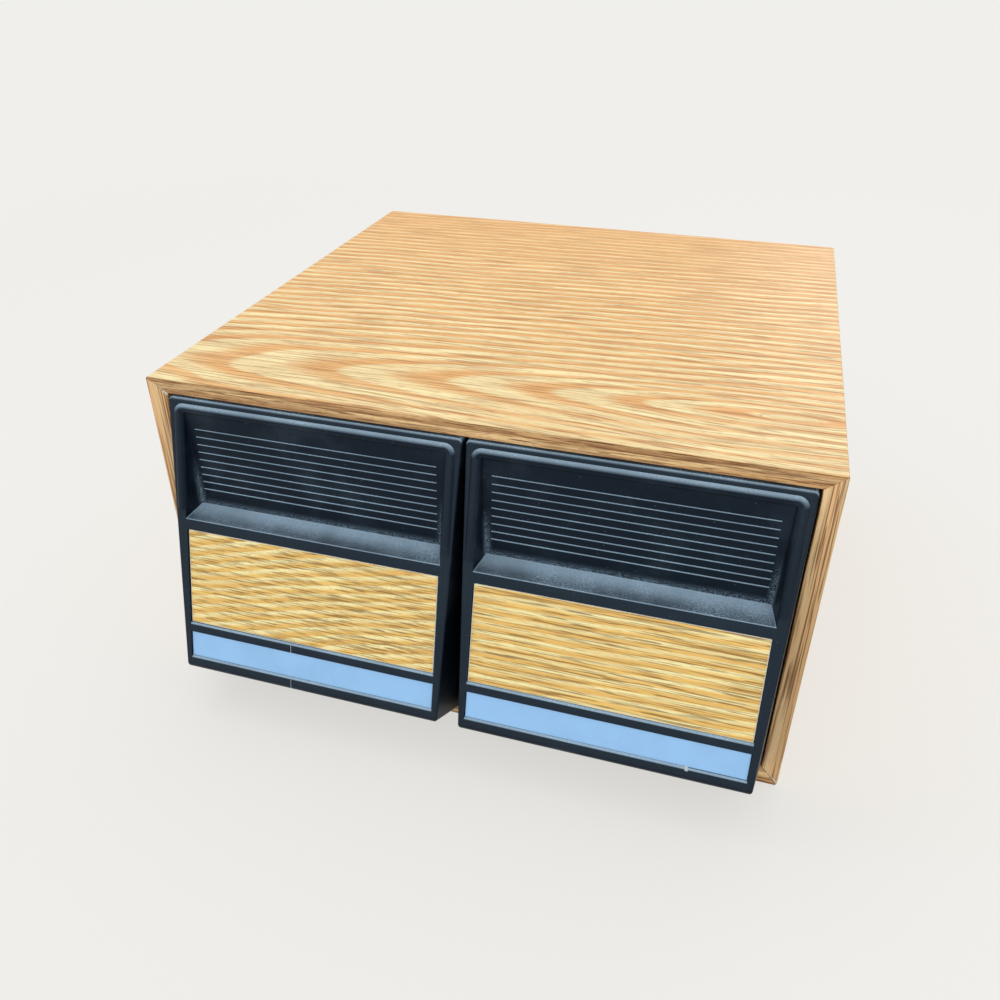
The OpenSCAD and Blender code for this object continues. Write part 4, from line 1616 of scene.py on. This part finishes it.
class DISC_CABINET_OT_screws(bpy.types.Operator):
    """Build the four screws that hold each front to its tray"""

    bl_idname = "disc_cabinet.screws"
    bl_label = "Screws"

    def execute(self, context):
        sizes = settings().front
        left = add_screw()
        repeat(left, 2, X_AXIS * sizes.screw_spacing)
        repeat(left, 2, Z_AXIS * sizes.screw_rise)
        for side, screws in both_sides(left, "pan_screws").items():
            smooth(screws)
            set_in(screws, f"{side}_drawer", "steel", [f"{side}_front_screws"], worn_steel())
        return {"FINISHED"}


# Studio

def seen_directly(tree):
    """Whether a ray comes from the camera, or from it by way of metal or glass."""
    rays = place(tree, "ShaderNodeLightPath").outputs
    seen = calc(tree, "MAXIMUM", rays["Is Camera Ray"], rays["Is Transmission Ray"])
    return calc(tree, "MAXIMUM", seen, rays["Is Glossy Ray"])


def show_mixed(tree, output, share, first, second):
    """Shows a mix of two shader nodes on an output."""
    inputs = {0: share, 1: first.outputs[0], 2: second.outputs[0]}
    fill(tree, tree.nodes[output], {"Surface": place(tree, "ShaderNodeMixShader", inputs).outputs[0]})


def floor_material():
    """Plain pale floor that keeps a light shadow."""
    finish = settings().finish
    stage = settings().stage
    material, tree, shader = new_material("studio_floor")
    fill(tree, shader, {"Base Color": rgba(finish.floor), "Roughness": 0.9, "Specular IOR Level": 0.1})
    glow = place(tree, "ShaderNodeEmission", {"Color": rgba(finish.backdrop), "Strength": 1.0})
    away = vector_calc(tree, "LENGTH", object_place(tree))["Value"]
    share = spread(tree, away, stage.floor_near, stage.floor_far, stage.floor_glow, 1.0)
    share = times(tree, seen_directly(tree), share)
    show_mixed(tree, "Material Output", share, shader, glow)
    return material


def looking(place_at, aim):
    """The turn of a light or a camera that looks at a point."""
    return (Vector(aim) - Vector(place_at)).to_track_quat("-Z", "Y").to_euler()


def add_soft_light(name, place_at, aim, width, depth, power):
    """A soft light that looks at a point."""
    bpy.ops.object.light_add(type="AREA", location=place_at)
    lamp = bpy.context.active_object
    lamp.name = name
    lamp.data.shape = "RECTANGLE"
    lamp.data.size = width
    lamp.data.size_y = depth
    lamp.data.energy = power
    lamp.rotation_euler = looking(place_at, aim)


def light_world():
    """Even light all round, with the pale backdrop where it is looked at."""
    stage = settings().stage
    world = bpy.data.worlds.new("studio_world")
    bpy.context.scene.world = world
    world.use_nodes = True
    tree = world.node_tree
    light = place(tree, "ShaderNodeBackground", {"Color": (1, 1, 1, 1), "Strength": stage.sky_light})
    pale = rgba(settings().finish.backdrop)
    backdrop = place(tree, "ShaderNodeBackground", {"Color": pale, "Strength": 1.0})
    show_mixed(tree, "World Output", seen_directly(tree), light, backdrop)


class DISC_CABINET_OT_stage(bpy.types.Operator):
    """Set up the floor, the soft lights and the camera"""

    bl_idname = "disc_cabinet.stage"
    bl_label = "Studio"

    def execute(self, context):
        stage = settings().stage
        bpy.ops.object.select_all(action="DESELECT")
        bpy.ops.mesh.primitive_plane_add(size=stage.floor_size, location=(0, 0, -stage.floor_drop))
        floor = take_new("studio_floor")
        floor.data.materials.append(floor_material())
        light_world()
        powers = {"key": stage.key_power, "fill": stage.fill_power, "rim": stage.rim_power}
        for name, power in powers.items():
            add_soft_light(f"{name}_light", *LIGHTS[name], power)
        bpy.ops.object.camera_add(location=stage.camera_place)
        camera = context.active_object
        camera.rotation_euler = looking(stage.camera_place, stage.camera_aim)
        camera.data.lens = stage.lens
        camera.data.sensor_width = stage.sensor
        camera.data.shift_x = stage.shift_x
        camera.data.shift_y = stage.shift_y
        context.scene.camera = camera
        context.scene.view_settings.view_transform = "Standard"
        return {"FINISHED"}


class DISC_CABINET_PT_panel(bpy.types.Panel):
    """Lists the steps that build the cabinet."""

    bl_idname = "DISC_CABINET_PT_panel"
    bl_label = "Disc Case Cabinet"
    bl_space_type = "VIEW_3D"
    bl_region_type = "UI"
    bl_category = "Disc Cabinet"

    def draw(self, context):
        column = self.layout.column()
        for step in STEPS:
            column.operator(step.bl_idname)


STEPS = (
    DISC_CABINET_OT_boards,
    DISC_CABINET_OT_inside,
    DISC_CABINET_OT_fronts,
    DISC_CABINET_OT_inserts,
    DISC_CABINET_OT_label_strips,
    DISC_CABINET_OT_trays,
    DISC_CABINET_OT_screws,
    DISC_CABINET_OT_stage,
)
GROUPS = (BoardSizes, FrontSizes, Finishes, StageSizes, CabinetSettings)
CLASSES = (*GROUPS, *STEPS, DISC_CABINET_PT_panel)


def register():
    for item in CLASSES:
        bpy.utils.register_class(item)
    bpy.types.Scene.disc_cabinet = PointerProperty(type=CabinetSettings)


def unregister():
    del bpy.types.Scene.disc_cabinet
    for item in reversed(CLASSES):
        bpy.utils.unregister_class(item)


def main():
    """Builds the cabinet and its studio."""
    register()
    bpy.ops.disc_cabinet.boards()
    bpy.ops.disc_cabinet.inside()
    bpy.ops.disc_cabinet.fronts()
    bpy.ops.disc_cabinet.inserts()
    bpy.ops.disc_cabinet.label_strips()
    bpy.ops.disc_cabinet.trays()
    bpy.ops.disc_cabinet.screws()
    bpy.ops.disc_cabinet.stage()


if __name__ == "__main__":
    main()
